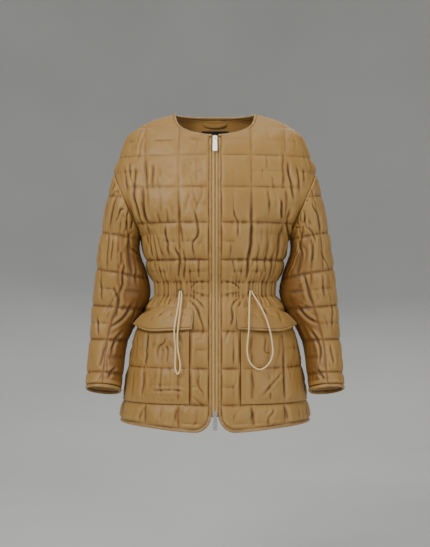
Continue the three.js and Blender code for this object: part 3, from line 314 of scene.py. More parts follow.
def sleeve_frame(side, row):
    """Middle, long axis, its length and the half depth of sleeve sections."""
    value = {name: look(SLEEVE, "row", row, name) for name in SLEEVE}
    middle = np.stack([side * (value["ox"] + value["ix"]) / 2, value["y"], (value["oz"] + value["iz"]) / 2], -1)
    axis = np.stack([side * (value["ox"] - value["ix"]) / 2, 0 * value["y"], (value["oz"] - value["iz"]) / 2], -1)
    return middle, unit(axis), np.linalg.norm(axis, axis=-1), value["deep"], value["tilt"]


def sleeve_point(side, row, angle, lift=0.0):
    """Points of a sleeve: angle from its outer edge towards the front."""
    row, angle, lift = np.broadcast_arrays(np.asarray(row, float), np.asarray(angle, float), lift)
    middle, axis, reach, deep, tilt = sleeve_frame(side, row)
    point = middle + axis * ((reach + lift) * np.cos(angle))[..., None]
    point[..., 1] -= (deep + lift) * np.sin(angle)
    point[..., 2] += tilt * np.sin(angle)
    return point


def sleeve_rows(row, angle):
    """Quilt rows down a sleeve: near the dropped armhole they run across it and not along the seam."""
    point = sleeve_point(1, row, angle)
    level = point[..., 2] + ROW_SLOPE * (look(SLEEVE, "row", row, "ox") - point[..., 0])
    levels = -np.array(SLEEVE["oz"])
    across = np.interp(-level, levels, SLEEVE["row"])
    blend = np.clip((3.4 - row) / 0.9, 0, 1)
    return row + blend * blend * (3 - 2 * blend) * (across - row)


def sleeve_squares(row, angle):
    """Quilt squares round a sleeve from its outer edge: six at the top and four below the elbow."""
    return angle / (2 * math.pi) * np.where(row < 3, 6, 4)


def neck_oval(oval, angle):
    """Point of a neckline oval seen from above, by angle from the centre front."""
    half, front, back = oval
    c, s = np.cos(angle), np.sin(angle)
    deep = np.where(c > 0, -front, back)
    x = half * np.sign(s) * np.abs(s) ** (2 / SECTION_POWER)
    return x, deep * np.abs(c) ** (2 / SECTION_POWER)


def height_above(x, y):
    """Height where the base surface passes points seen from above."""
    x, y = np.broadcast_arrays(np.asarray(x, float), np.asarray(y, float))
    low, high = np.full(x.shape, -120.0), np.full(x.shape, BODY_TOP)
    for _ in range(40):
        middle = (low + high) / 2
        half, front = section("front", middle)
        back = section("back", middle)[1]
        depth = np.where(y < 0, front, back)
        out = np.abs(x / half) ** SECTION_POWER + np.abs(y / depth) ** SECTION_POWER > 1
        low, high = np.where(out, low, middle), np.where(out, middle, high)
    return (low + high) / 2


# Grids of cloth. A grid is a set of rows of points, and its cloth is a closed wall over a plain inside

CELLS_PER_SQUARE = 16
CLOTH_CELL = PITCH / CELLS_PER_SQUARE
FINER = 2
INNER_STEP = 4
FRONT_START = 0.125


def upsampled(values):
    """A list of grid values with the middle of each step added."""
    values = np.asarray(values, float)
    made = np.empty(FINER * len(values) - 1)
    made[::FINER] = values
    made[1::FINER] = (values[:-1] + values[1:]) / 2
    return made


def midpoints(field, closed=False):
    """Smooth values halfway between the rows of a field."""
    if closed:
        before, after = np.roll(field, 1, 0), np.roll(field, -1, 0)
        beyond = np.roll(field, -2, 0)
        return (9 * (field + after) - before - beyond) / 16
    padded = np.concatenate([field[:1], field, field[-1:]])
    return (9 * (padded[1:-2] + padded[2:-1]) - padded[:-3] - padded[3:]) / 16


def finer_field(field, closed=False):
    """A field on a grid with each cell divided into four."""
    for axis, ring in ((0, False), (1, closed)):
        turned = np.moveaxis(field, axis, 0)
        between = midpoints(turned, ring)
        made = np.empty((len(turned) + len(between),) + turned.shape[1:])
        made[::2] = turned
        made[1::2] = between
        field = np.moveaxis(made, 0, axis)
    return field


def body_heights():
    """Heights of the body's points, evenly spaced down the cloth, with each stitched row among them."""
    stops = [BODY_TOP, *ROWS[:-1], -735.0]
    heights = []
    for high, low in zip(stops, stops[1:]):
        z = np.linspace(high, low, 41)
        run = base_point("front", 1, STRAIGHT_SQUARES, z)
        length = np.concatenate([[0], np.cumsum(np.linalg.norm(np.diff(run, axis=0), axis=1))])
        cells = 2 * max(1, round(length[-1] / CLOTH_CELL / 2))
        heights.extend(np.interp(np.arange(cells) / cells * length[-1], length, z))
    heights.append(stops[-1])
    while (len(heights) - 1) % (INNER_STEP // FINER):
        heights.append(heights[-1] - CLOTH_CELL)
    return np.array(heights)


def neck_height(face, squares):
    """Height where each column of a panel meets the neckline's seam."""
    half, front, back = NECK_SEAM
    depth = front if face == "front" else back
    low, high = np.full(squares.shape, -120.0), np.full(squares.shape, BODY_TOP)
    for _ in range(30):
        middle = (low + high) / 2
        point = np.abs(base_point(face, 1, squares, middle))
        out = (point[..., 0] / half) ** SECTION_POWER + (point[..., 1] / depth) ** SECTION_POWER > 1
        low, high = np.where(out, middle, low), np.where(out, high, middle)
    return low


def hem_height(face, x):
    """Height of a panel's seam to the hem binding."""
    inset = BINDING_WIDTH + SEAM_GAP
    if face == "back":
        return look(HEM_BACK, "x", x, "z") + inset
    wide, high = CORNER_X - EDGE_X - inset, CORNER_Z - HEM_FRONT["z"][0] - inset
    turn = np.sqrt(np.maximum(0, 1 - (np.minimum(x - CORNER_X, 0) / wide) ** 2))
    return np.where(x < CORNER_X, CORNER_Z - high * turn, look(HEM_FRONT, "x", x, "z") + inset)


def armhole_squares(face, z):
    """Squares from the centre line to the armhole's seam, or to the side seam above and below it."""
    edge = armhole(z)[0] - SEAM_GAP
    x, _, length = quarter(face, z)
    i = np.clip((x < edge[..., None]).sum(-1), 1, x.shape[-1] - 1)
    t = np.clip((edge - pick(x, i - 1)) / (pick(x, i) - pick(x, i - 1)), 0, 1)
    along = pick(length, i - 1) + t * (pick(length, i) - pick(length, i - 1))
    total = length[..., -1]
    straight = np.minimum(STRAIGHT_SQUARES * PITCH * squeeze(z), total * 0.8)
    past = (along - straight) / (total - straight)
    squares = np.where(past > 0, STRAIGHT_SQUARES + past * (SIDE_SQUARES - STRAIGHT_SQUARES),
                       STRAIGHT_SQUARES * along / straight)
    return np.where(beside_armhole(z), np.minimum(squares, SIDE_SQUARES), SIDE_SQUARES)


def panel_places(face, columns, heights):
    """Squares and heights of a panel's points, held inside its seams, and which of them were held."""
    u, z = np.meshgrid(np.abs(columns), heights)
    held_u = np.minimum(u, armhole_squares(face, z))
    if face == "front":
        first = (EDGE_X + BINDING_WIDTH + SEAM_GAP) / (PITCH * squeeze(z))
        held_u = np.maximum(held_u, first)
    top = neck_height(face, held_u)
    held_z = np.minimum(z, top)
    for _ in range(4):
        x = np.abs(base_point(face, 1, held_u, held_z)[..., 0])
        held_z = np.maximum(np.minimum(z, top), hem_height(face, x))
    held = (np.abs(held_u - u) > 1e-6) | (np.abs(held_z - z) > 1e-6)
    return held_u, held_z, held


def merged(points, faces):
    """Points with equal ones merged, and faces that keep each corner once."""
    _, first, index = np.unique(np.round(points, 4), axis=0, return_index=True, return_inverse=True)
    index = index.reshape(-1)
    kept = []
    for face in faces:
        corners = [index[k] for k in face]
        corners = [c for k, c in enumerate(corners) if c != corners[k - 1]]
        if len(set(corners)) == len(corners) and len(corners) > 2:
            kept.append(corners)
    return points[first], kept, index


def grid_faces(rows, columns, ring=False, offset=0):
    """Faces of a grid, which closes on itself round its columns when it is a ring."""
    i, j = np.meshgrid(np.arange(rows - 1), np.arange(columns if ring else columns - 1), indexing="ij")
    after = (j + 1) % columns
    corners = [i * columns + j, (i + 1) * columns + j, (i + 1) * columns + after, i * columns + after]
    return (np.stack(corners, -1).reshape(-1, 4) + offset).tolist()


def wall_faces(outer_shape, inner_shape, ring):
    """Faces of a wall between a fine outer grid and an inner one that has every INNER_STEP-th point."""
    rows, columns = outer_shape
    low_rows, low_columns = inner_shape
    start = rows * columns
    faces = grid_faces(rows, columns, ring)
    faces += [face[::-1] for face in grid_faces(low_rows, low_columns, ring, start)]
    step = INNER_STEP

    def rim(outer_at, inner_at, count, flip):
        for k in range(count):
            o = [outer_at(k * step + m) for m in range(step + 1)]
            a, b = inner_at(k), inner_at(k + 1)
            half = step // 2
            strip = [(o[m], o[m + 1], a) for m in range(half)] + [(o[half], b, a)]
            strip += [(o[m], o[m + 1], b) for m in range(half, step)]
            faces.extend(face[::-1] if flip else face for face in strip)

    wrap, low_wrap = (columns, low_columns) if ring else (columns + 1, low_columns + 1)
    last, low_last = (rows - 1) * columns, start + (low_rows - 1) * low_columns
    across = low_columns if ring else low_columns - 1
    rim(lambda k: k % wrap, lambda k: start + k % low_wrap, across, False)
    rim(lambda k: last + k % wrap, lambda k: low_last + k % low_wrap, across, True)
    if not ring:
        rim(lambda k: k * columns, lambda k: start + k * low_columns, low_rows - 1, True)
        rim(lambda k: k * columns + columns - 1, lambda k: start + (k + 1) * low_columns - 1, low_rows - 1, False)
    return faces


def outside_out(points, faces):
    """Faces turned so that they point out of the closed shape."""
    p = np.asarray(points)
    volume = 0.0
    for size in {len(face) for face in faces}:
        corners = p[np.array([face for face in faces if len(face) == size])]
        for k in range(1, size - 1):
            volume += (corners[:, 0] * np.cross(corners[:, k], corners[:, k + 1])).sum()
    return faces if volume > 0 else [face[::-1] for face in faces]


def new_piece(name, points, faces, material, values=None, smooth=True, body=BODY):
    """A mesh piece that rides on a body; values are named numbers kept at its points."""
    mesh = bpy.data.meshes.new(name)
    mesh.from_pydata((np.asarray(points) * MM).tolist(), [], faces)
    for key, numbers in (values or {}).items():
        layer = mesh.attributes.new(key, "FLOAT", "POINT")
        layer.data.foreach_set("value", np.asarray(numbers, np.float32))
    mesh.polygons.foreach_set("use_smooth", [smooth] * len(mesh.polygons))
    mesh.materials.append(material)
    mesh.validate()
    piece = bpy.data.objects.new(name, mesh)
    bpy.context.scene.collection.objects.link(piece)
    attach(piece, body)
    return piece


# Blender's cloth simulation for the padded cloth: seams are held and the padding swells between them

CLOTH_FRAMES = 20
FORWARD_CAP, INWARD_CAP, SIDE_CAP = 9.0, 1.2, 4.0


def swollen(points, faces, held, cut, pressure):
    """Points of padded cloth after simulation; held ones stay, and cut gives the lengths before sewing."""
    mesh = bpy.data.meshes.new("swell")
    mesh.from_pydata((points * MM).tolist(), [], faces)
    cloth_object = bpy.data.objects.new("swell", mesh)
    scene = bpy.context.scene
    scene.collection.objects.link(cloth_object)
    group = cloth_object.vertex_groups.new(name="held")
    group.add(np.flatnonzero(held).tolist(), 1.0, "REPLACE")
    cloth_object.shape_key_add(name="Basis")
    key = cloth_object.shape_key_add(name="cut")
    key.data.foreach_set("co", (cut * MM).ravel())
    key.value = 0
    cloth = cloth_object.modifiers.new("Cloth", "CLOTH")
    settings = cloth.settings
    settings.quality = 4
    settings.mass = 0.05
    settings.tension_stiffness = 12
    settings.compression_stiffness = 12
    settings.shear_stiffness = 3
    settings.bending_stiffness = 0.25
    settings.air_damping = 3
    settings.vertex_group_mass = "held"
    settings.pin_stiffness = 1
    settings.rest_shape_key = key
    settings.use_pressure = True
    settings.uniform_pressure_force = pressure
    settings.effector_weights.gravity = 0
    cloth.collision_settings.use_collision = False
    cloth.collision_settings.use_self_collision = False
    cloth.point_cache.frame_start = 1
    cloth.point_cache.frame_end = CLOTH_FRAMES
    for number in range(1, CLOTH_FRAMES + 1):
        scene.frame_set(number)
    result = cloth_object.evaluated_get(bpy.context.evaluated_depsgraph_get())
    moved = np.zeros(len(points) * 3)
    result.data.vertices.foreach_get("co", moved)
    bpy.data.objects.remove(cloth_object)
    bpy.data.meshes.remove(mesh)
    scene.frame_set(1)
    return moved.reshape(-1, 3) / MM


def settled(base, normal, rise, held, cut, pressure, ring=False):
    """Offsets of a grid's points from its base surface after the padding has swollen the cloth."""
    start = base + normal * rise[..., None]
    rows, columns = rise.shape
    points, faces, index = merged(start.reshape(-1, 3), grid_faces(rows, columns, ring))
    first = np.zeros(len(points), int)
    first[index] = np.arange(len(index))
    pins, wide = held.reshape(-1)[first], cut.reshape(-1, 3)[first]
    moved = swollen(points, faces, pins, wide, pressure)[index].reshape(base.shape)
    offset = moved - base
    up = (offset * normal).sum(-1, keepdims=True)
    sideways = offset - normal * up
    length = np.linalg.norm(sideways, axis=-1, keepdims=True)
    sideways *= np.minimum(1, SIDE_CAP / np.maximum(length, 1e-9))
    print("swell: rise", float(up.min()), float(up.mean()), float(up.max()), "side", float(length.max()))
    return sideways + normal * np.clip(up, -INWARD_CAP, FORWARD_CAP)


# The main folds of the front, listed: depth, width, then the points of each as x and z in front
FRONT_FOLDS = [
    (4.0, 3.2, [(-183, -127), (-181, -155), (-184, -193), (-176, -221), (-160, -268)]),
    (2.6, 2.8, [(-196, -118), (-192, -155), (-183, -184)]),
    (2.8, 2.8, [(-167, -169), (-162, -193), (-160, -226), (-150, -259)]),
    (2.8, 3.0, [(-155, -277), (-146, -315), (-141, -343)]),
    (2.4, 3.0, [(-136, -268), (-122, -315), (-115, -343)]),
    (2.2, 3.0, [(-142, -120), (-140, -150), (-143, -182)]),
    (1.8, 3.0, [(-206, -128), (-203, -160), (-198, -190)]),
    (3.4, 3.0, [(163, -113), (168, -150), (175, -188), (180, -216)]),
    (3.8, 3.2, [(171, -218), (163, -259), (168, -296), (158, -334)]),
    (2.4, 2.8, [(186, -122), (190, -160), (192, -192)]),
    (2.6, 2.8, [(146, -196), (150, -232), (146, -262)]),
    (2.4, 3.0, [(136, -300), (128, -340), (122, -372)]),
    (2.0, 3.0, [(204, -130), (202, -168)]),
    (1.0, 3.0, [(-129, -154), (-125, -186)]),
    (2.4, 3.2, [(-159, -104), (-154, -180), (-150, -246)]),
    (3.0, 3.2, [(-171, -200), (-156, -250), (-143, -267)]),
    (2.0, 2.6, [(-130, -232), (-122, -262)]),
    (2.0, 2.6, [(-108, -222), (-105, -260)]),
    (3.4, 2.6, [(-112, -260), (-107, -299), (-101, -338)]),
    (2.4, 2.4, [(-81, -210), (-78, -260), (-69, -316)]),
    (3.6, 2.6, [(-90, -312), (-80, -341), (-81, -384)]),
    (3.0, 2.4, [(-72, -312), (-67, -344), (-70, -390)]),
    (3.2, 2.4, [(-48, -222), (-44, -246), (-38, -265), (-39, -290), (-48, -303), (-48, -328), (-42, -350)]),
    (3.4, 2.4, [(-36, -340), (-36, -390)]),
    (1.0, 2.6, [(-31, -172), (-29, -202), (-39, -222)]),
    (1.3, 2.4, [(-25, -305), (-24, -342)]),
    (2.4, 2.8, [(-127, -350), (-118, -392)]),
    (2.4, 3.0, [(-145, -268), (-133, -305), (-129, -353)]),
    (2.6, 3.0, [(-155, -286), (-149, -345), (-139, -392)]),
    (1.8, 2.4, [(-101, -345), (-96, -392)]),
    (1.4, 2.4, [(-57, -340), (-55, -390)]),
    (2.8, 2.4, [(42, -228), (46, -249), (51, -260), (50, -300)]),
    (2.0, 2.4, [(35, -300), (33, -341)]),
    (2.0, 2.4, [(38, -338), (48, -386)]),
    (3.9, 2.7, [(81, -214), (82, -251), (80, -305), (73, -341), (73, -388)]),
    (2.6, 2.4, [(89, -338), (75, -370)]),
    (2.0, 2.8, [(119, -180), (122, -232)]),
    (1.1, 2.8, [(106, -132), (107, -174)]),
    (1.6, 2.6, [(117, -108), (118, -140)]),
    (1.6, 2.8, [(129, -150), (132, -186)]),
    (2.4, 3.0, [(155, -84), (155, -164), (152, -196)]),
    (2.6, 3.2, [(154, -196), (150, -236), (156, -262)]),
    (2.4, 2.8, [(131, -340), (119, -394)]),
    (2.0, 2.6, [(114, -330), (110, -372)]),
    (2.2, 3.0, [(146, -272), (141, -305), (138, -352)]),
    (1.7, 2.6, [(99, -288), (95, -330), (92, -388)]),
    (2.6, 3.0, [(158, -290), (150, -345), (140, -392)]),
    (1.5, 2.4, [(58, -345), (60, -390)]),
    (3.0, 2.4, [(-62, -428), (-40, -456), (-27, -497), (-28, -521)]),
    (2.2, 2.4, [(-53, -424), (-33, -441), (-18, -460)]),
    (2.0, 2.2, [(-54, -415), (-16, -425)]),
    (2.2, 2.2, [(-56, -410), (-40, -393), (-17, -392)]),
    (3.2, 2.4, [(60, -425), (39, -445), (39, -475), (32, -500)]),
    (2.4, 2.4, [(67, -424), (47, -456)]),
    (2.0, 2.2, [(16, -423), (56, -417)]),
    (2.2, 2.2, [(17, -391), (39, -395), (58, -410)]),
    (2.6, 2.4, [(30, -498), (20, -535)]),
    (2.2, 2.4, [(-98, -428), (-104, -448)]),
    (2.2, 2.4, [(-118, -428), (-128, -450)]),
    (2.2, 2.4, [(100, -428), (106, -448)]),
    (2.2, 2.4, [(118, -428), (129, -452)]),
    (1.3, 2.4, [(-45, -545), (-45, -584)]),
    (2.0, 2.4, [(-36, -582), (-35, -627), (-27, -641), (-27, -664)]),
    (1.6, 2.4, [(43, -538), (40, -580)]),
    (1.7, 2.4, [(48, -584), (46, -617), (35, -633)]),
    (1.7, 2.4, [(-52, -648), (-23, -670)]),
    (2.2, 2.6, [(-84, -674), (-94, -722)]),
    (1.7, 2.6, [(-163, -674), (-170, -712)]),
    (2.2, 2.6, [(82, -674), (88, -722)]),
    (2.4, 2.6, [(126, -672), (129, -684), (118, -699), (118, -720)]),
    (2.2, 2.6, [(156, -672), (167, -716)]),
]
POCKET_FOLDS = [
    (2.2, 2.6, [(-111, -514), (-114, -530), (-125, -541), (-128, -570)]),
    (2.0, 2.4, [(-110, -533), (-105, -552), (-106, -581)]),
    (1.8, 2.6, [(-150, -512), (-150, -548)]),
    (1.6, 2.4, [(-174, -516), (-174, -546)]),
    (1.6, 2.4, [(-151, -552), (-150, -575)]),
    (2.0, 2.4, [(-119, -585), (-122, -638)]),
    (1.8, 2.6, [(-156, -585), (-163, -660)]),
    (2.0, 2.4, [(-144, -638), (-79, -636), (-67, -643)]),
    (2.2, 2.4, [(111, -514), (112, -552), (124, -554)]),
    (1.8, 2.6, [(152, -550), (153, -655)]),
    (2.4, 2.6, [(153, -592), (99, -654)]),
    (1.6, 2.4, [(123, -638), (123, -664)]),
    (1.8, 2.6, [(176, -520), (178, -580)]),
    (1.6, 2.6, [(78, -520), (76, -560)]),
]
SLEEVE_FOLDS = [
    (4.2, 3.4, [(-199, -104), (-188, -135), (-188, -175), (-180, -205), (-178, -240)]),
    (3.8, 3.2, [(-220, -158), (-205, -180), (-190, -200), (-179, -212)]),
    (3.4, 3.2, [(-208, -238), (-200, -275), (-197, -318)]),
    (3.4, 3.0, [(-190, -235), (-178, -262), (-174, -290)]),
    (2.8, 3.0, [(-193, -312), (-178, -334)]),
    (2.4, 2.8, [(-214, -322), (-216, -357)]),
    (2.4, 2.8, [(-210, -365), (-213, -400)]),
    (2.2, 2.8, [(-246, -210), (-252, -262)]),
    (2.2, 2.8, [(-232, -288), (-238, -352)]),
    (2.0, 2.8, [(-262, -300), (-266, -352)]),
    (3.0, 3.0, [(-232, -402), (-222, -440), (-230, -478)]),
    (2.4, 2.8, [(-262, -385), (-258, -442)]),
    (3.0, 3.0, [(-190, -440), (-215, -478), (-244, -500)]),
    (2.6, 2.8, [(-270, -470), (-266, -520)]),
    (2.6, 2.8, [(-212, -500), (-232, -530), (-240, -566)]),
    (2.4, 2.8, [(-252, -540), (-262, -590)]),
    (2.4, 2.8, [(-228, -585), (-246, -612)]),
    (3.8, 3.4, [(200, -112), (190, -150), (186, -195), (180, -240)]),
    (3.4, 3.2, [(222, -165), (204, -186), (190, -212)]),
    (3.4, 3.2, [(210, -225), (202, -270), (196, -312)]),
    (3.0, 3.0, [(190, -262), (180, -300)]),
    (2.4, 2.8, [(236, -230), (240, -285)]),
    (2.4, 2.8, [(226, -300), (222, -352)]),
    (2.0, 2.8, [(258, -262), (262, -330)]),
    (2.8, 3.0, [(206, -372), (216, -420), (226, -446)]),
    (2.2, 2.8, [(246, -372), (250, -432)]),
    (3.0, 3.0, [(190, -446), (214, -474), (238, -488)]),
    (2.4, 2.8, [(270, -440), (268, -500)]),
    (2.8, 2.8, [(218, -498), (240, -536), (244, -572)]),
    (2.4, 2.8, [(262, -530), (270, -585)]),
    (2.4, 2.8, [(232, -590), (252, -616)]),
]
FOLD_SWAY, FOLD_WAVE, FOLD_NARROW = 0.55, 43.0, 0.85


def fold_relief(folds, x, z):
    """Relief of listed folds: a narrow trough with a soft ridge on each side."""
    relief = np.zeros(x.shape)
    for number, (depth, width, points) in enumerate(folds):
        line = smooth_curve([(a, b, 0) for a, b in points], 4.0)[:, :2]
        low, high = line.min(0) - 25, line.max(0) + 25
        near = (x > low[0]) & (x < high[0]) & (z > low[1]) & (z < high[1])
        if not near.any():
            continue
        px, pz = x[near], z[near]
        sway = FOLD_SWAY * np.sin(2 * math.pi * pz / FOLD_WAVE + 2.4 * number)
        dx, dz = px[:, None] + sway[:, None] - line[:, 0], pz[:, None] - line[:, 1]
        closest = np.argmin(np.hypot(dx, dz), 1)
        step = unit(np.gradient(line, axis=0))[closest]
        ax, az = dx[np.arange(len(px)), closest], dz[np.arange(len(px)), closest]
        beyond = np.abs(ax * step[:, 0] + az * step[:, 1])
        off = np.abs(ax * step[:, 1] - az * step[:, 0])
        part = closest / (len(line) - 1)
        fade = faded(np.minimum(part, 1 - part) / 0.3 + 0.12) * np.exp(-((beyond / 6) ** 2))
        wide = width * FOLD_NARROW
        trough = np.exp(-((off / wide) ** 2))
        ridge = 0.5 * np.exp(-(((off - 2.6 * wide) / (1.8 * wide)) ** 2))
        relief[near] += depth * fade * (ridge - trough)
    return relief


# Smaller creases are placed in fields. Across and down are millimetres on the cloth, turn is degrees from upright

CREASE_COLUMNS = "left right top low count depth width length turn spread"
FRONT_CREASES = table(CREASE_COLUMNS, [
    (165, 285, -45, -150, 5, 1.1, 3.4, 70, 4, 8), (20, 285, -180, -300, 8, 0.9, 3.0, 60, 0, 8),
    (60, 285, -300, -385, 7, 1.0, 2.8, 70, 0, 7), (45, 285, -350, -398, 10, 1.1, 2.4, 44, 0, 6),
    (45, 285, -420, -455, 10, 1.2, 2.4, 40, 0, 8), (255, 287, -480, -700, 5, 1.5, 3.0, 80, 0, 10),
    (20, 285, -672, -720, 10, 1.1, 2.8, 30, 0, 24),
])
BACK_CREASES = table(CREASE_COLUMNS, [
    (-285, 285, -60, -200, 8, 1.2, 3.4, 70, 0, 10), (-285, 285, -180, -320, 16, 2.0, 2.8, 80, 0, 8),
    (-285, 285, -280, -385, 22, 2.6, 2.6, 80, 0, 8), (-285, 285, -356, -398, 24, 1.6, 2.4, 42, 0, 7),
    (-285, 285, -420, -462, 32, 2.2, 2.4, 42, 0, 9), (-285, 285, -430, -580, 16, 2.2, 2.8, 80, 0, 12),
    (-285, 285, -570, -715, 16, 1.6, 2.8, 56, 0, 16),
])
POCKET_CREASES = table(CREASE_COLUMNS, [
    (70, 260, -520, -650, 8, 1.0, 2.8, 45, 0, 14), (70, 260, -655, -666, 14, 1.0, 2.2, 12, 0, 25),
])

# Down a sleeve from its seam; across runs both ways from its outer edge, to the front where positive
SLEEVE_CREASES = table(CREASE_COLUMNS, [
    (-225, 225, 0, 60, 16, 2.4, 3.0, 60, 0, 12), (-225, -30, 60, 260, 18, 2.4, 3.0, 80, 0, 14),
    (0, 225, 60, 260, 10, 2.2, 2.8, 80, 0, 12), (-225, 225, 90, 330, 14, 1.6, 3.0, 70, 0, 16), (-225, -90, 240, 400, 8, 2.4, 3.2, 70, -58, 14),
    (-225, -30, 330, 470, 10, 2.0, 3.0, 66, 0, 20), (-225, 225, 330, 500, 12, 1.2, 2.8, 50, 0, 24),
    (-225, 225, 470, 520, 12, 1.4, 2.4, 30, 0, 14),
])


def creases(seed, fields, across, down, ring=0.0):
    """Relief of creases: narrow wavy troughs with softer ridges beside them."""
    rng = np.random.default_rng(seed)
    relief = np.zeros(across.shape)
    for k in range(len(fields["left"])):
        field = {name: fields[name][k] for name in fields}
        for number in range(int(field["count"])):
            spread = (number + rng.uniform(0.1, 0.9)) / field["count"]
            x = field["left"] + spread * (field["right"] - field["left"])
            z = field["top"] + rng.uniform(0, 1) * (field["low"] - field["top"])
            turn = math.radians(field["turn"] + rng.normal() * field["spread"])
            length = field["length"] * rng.uniform(0.6, 1.4)
            depth, width = field["depth"] * rng.uniform(0.45, 1.25), field["width"] * rng.uniform(0.8, 1.35)
            sway, wave, phase = rng.uniform(0.6, 2.4), rng.uniform(44, 90), rng.uniform(0, 2 * math.pi)
            dx, dz = across - x, down - z
            if ring:
                dx = (dx + ring / 2) % ring - ring / 2
            along = dx * math.sin(turn) + dz * math.cos(turn)
            off = dx * math.cos(turn) - dz * math.sin(turn) + sway * np.sin(2 * math.pi * along / wave + phase)
            fade = np.exp(-((2 * along / length) ** 4))
            width *= 0.85
            trough = np.exp(-((off / width) ** 2))
            ridge = 0.5 * np.exp(-(((np.abs(off) - 2.5 * width) / (1.7 * width)) ** 2))
            relief += depth * fade * (ridge - trough)
    return relief


def blurred(field, reach, ring=False):
    """A field averaged over a few cells each way."""
    for axis, closed in ((0, False), (1, ring)):
        mode = "wrap" if closed else "edge"
        width = [(0, 0)] * field.ndim
        width[axis] = (reach, reach)
        padded = np.pad(field, width, mode=mode)
        total = np.cumsum(np.insert(padded, 0, 0, axis), axis)
        size = 2 * reach + 1
        upper = np.take(total, np.arange(size, total.shape[axis]), axis)
        field = (upper - np.take(total, np.arange(total.shape[axis] - size), axis)) / size
    return field


# Reach and depth of the mask that paints shade into troughs and highlight onto ridges
CAVITY_REACH = 4
CAVITY_DEPTH = 3.0


def painted_shade_and_highlight(relief, ring=False):
    """How deep each point lies below the cloth around it, from -1 on a ridge to 1 in a trough: the mask of the painted
    highlight on ridges and the painted shade in troughs.
    """
    return np.clip((blurred(relief, CAVITY_REACH, ring) - relief) / CAVITY_DEPTH, -1, 1)


def faded(x):
    """Smooth step from 0 to 1."""
    t = np.clip(x, 0, 1)
    return t * t * (3 - 2 * t)


def panel_seam(face, side, u, z):
    """Distances to a panel's nearest seam and short line, and whether a point is in the drawcord channel."""
    v = row_number(z)
    casing = (z < CASING_TOP) & (z > CASING_LOW)
    near, near_line = seam_distances(u, v, side + 2)
    return np.where(casing, np.minimum(CASING_TOP - z, z - CASING_LOW), near), near_line, casing


def under_pocket(u, z):
    """1 where a pocket or flap covers the front, fading to 0 outside it."""
    inside = faded((u - 0.6) / 0.08) * faded((3.33 - u) / 0.08)
    return inside * faded((PLAIN_UNDER["top"] - 8 - z) / 8) * faded((z - PLAIN_UNDER["bottom"]) / 3)


# The cloth lies flatter over the chest than below it
CHEST_FLAT, CHEST_TOP, CHEST_LOW = 0.5, -140.0, -290.0


def panel_relief(face, side, u, z, sizes, extra):
    """Relief of a body panel's quilting and gathers; extra is that of its creases."""
    near, near_line, casing = panel_seam(face, side, u, z)
    chest = CHEST_FLAT + (1 - CHEST_FLAT) * faded((CHEST_TOP - z) / (CHEST_TOP - CHEST_LOW))
    puff = np.where(casing, 2.2 * (1 - np.exp(-near / 6)), sizes.puff / MM * chest * puffed(near, near_line))
    gather = np.exp(-(((z - GATHER_Z) / 42) ** 2))
    folds = 1.5 + 1.5 * np.cos(4 * math.pi * u) + 1.3 * np.sin(14 * math.pi * u + 2.2 * np.sin(9 * u))
    ridge = faded(-z / 45)
    sides = faded((SIDE_SQUARES - u) / 0.12)
    edge_u = armhole_squares(face, z)
    sides *= np.where(edge_u < SIDE_SQUARES, faded((edge_u - u) / 0.14), 1)
    soft = np.where(edge_u < SIDE_SQUARES, faded((edge_u - u) / (0.2 + 0.4 * faded((z + 240) / 60))), 1)
    hem = faded((z - hem_height(face, np.abs(base_point(face, 1, u, z)[..., 0]))) / 8)
    relief = puff * (1 - 0.35 * gather) * ridge * soft + 0.9 * gather * folds
    relief += extra * (0.45 + 0.55 * faded(near / 7)) * faded(-z / 70)
    relief *= sides * hem
    if face == "front":
        edge = (EDGE_X + BINDING_WIDTH) / PITCH
        relief *= faded((u - edge) / 0.07) * (1 - under_pocket(u, z))
    return relief


def body_ease(z):
    """How much wider the cloth was cut than the place it is sewn into."""
    return 0.03 + 0.07 * faded((-130 - z) / 160) + 0.05 * np.exp(-(((z - GATHER_Z) / 60) ** 2))


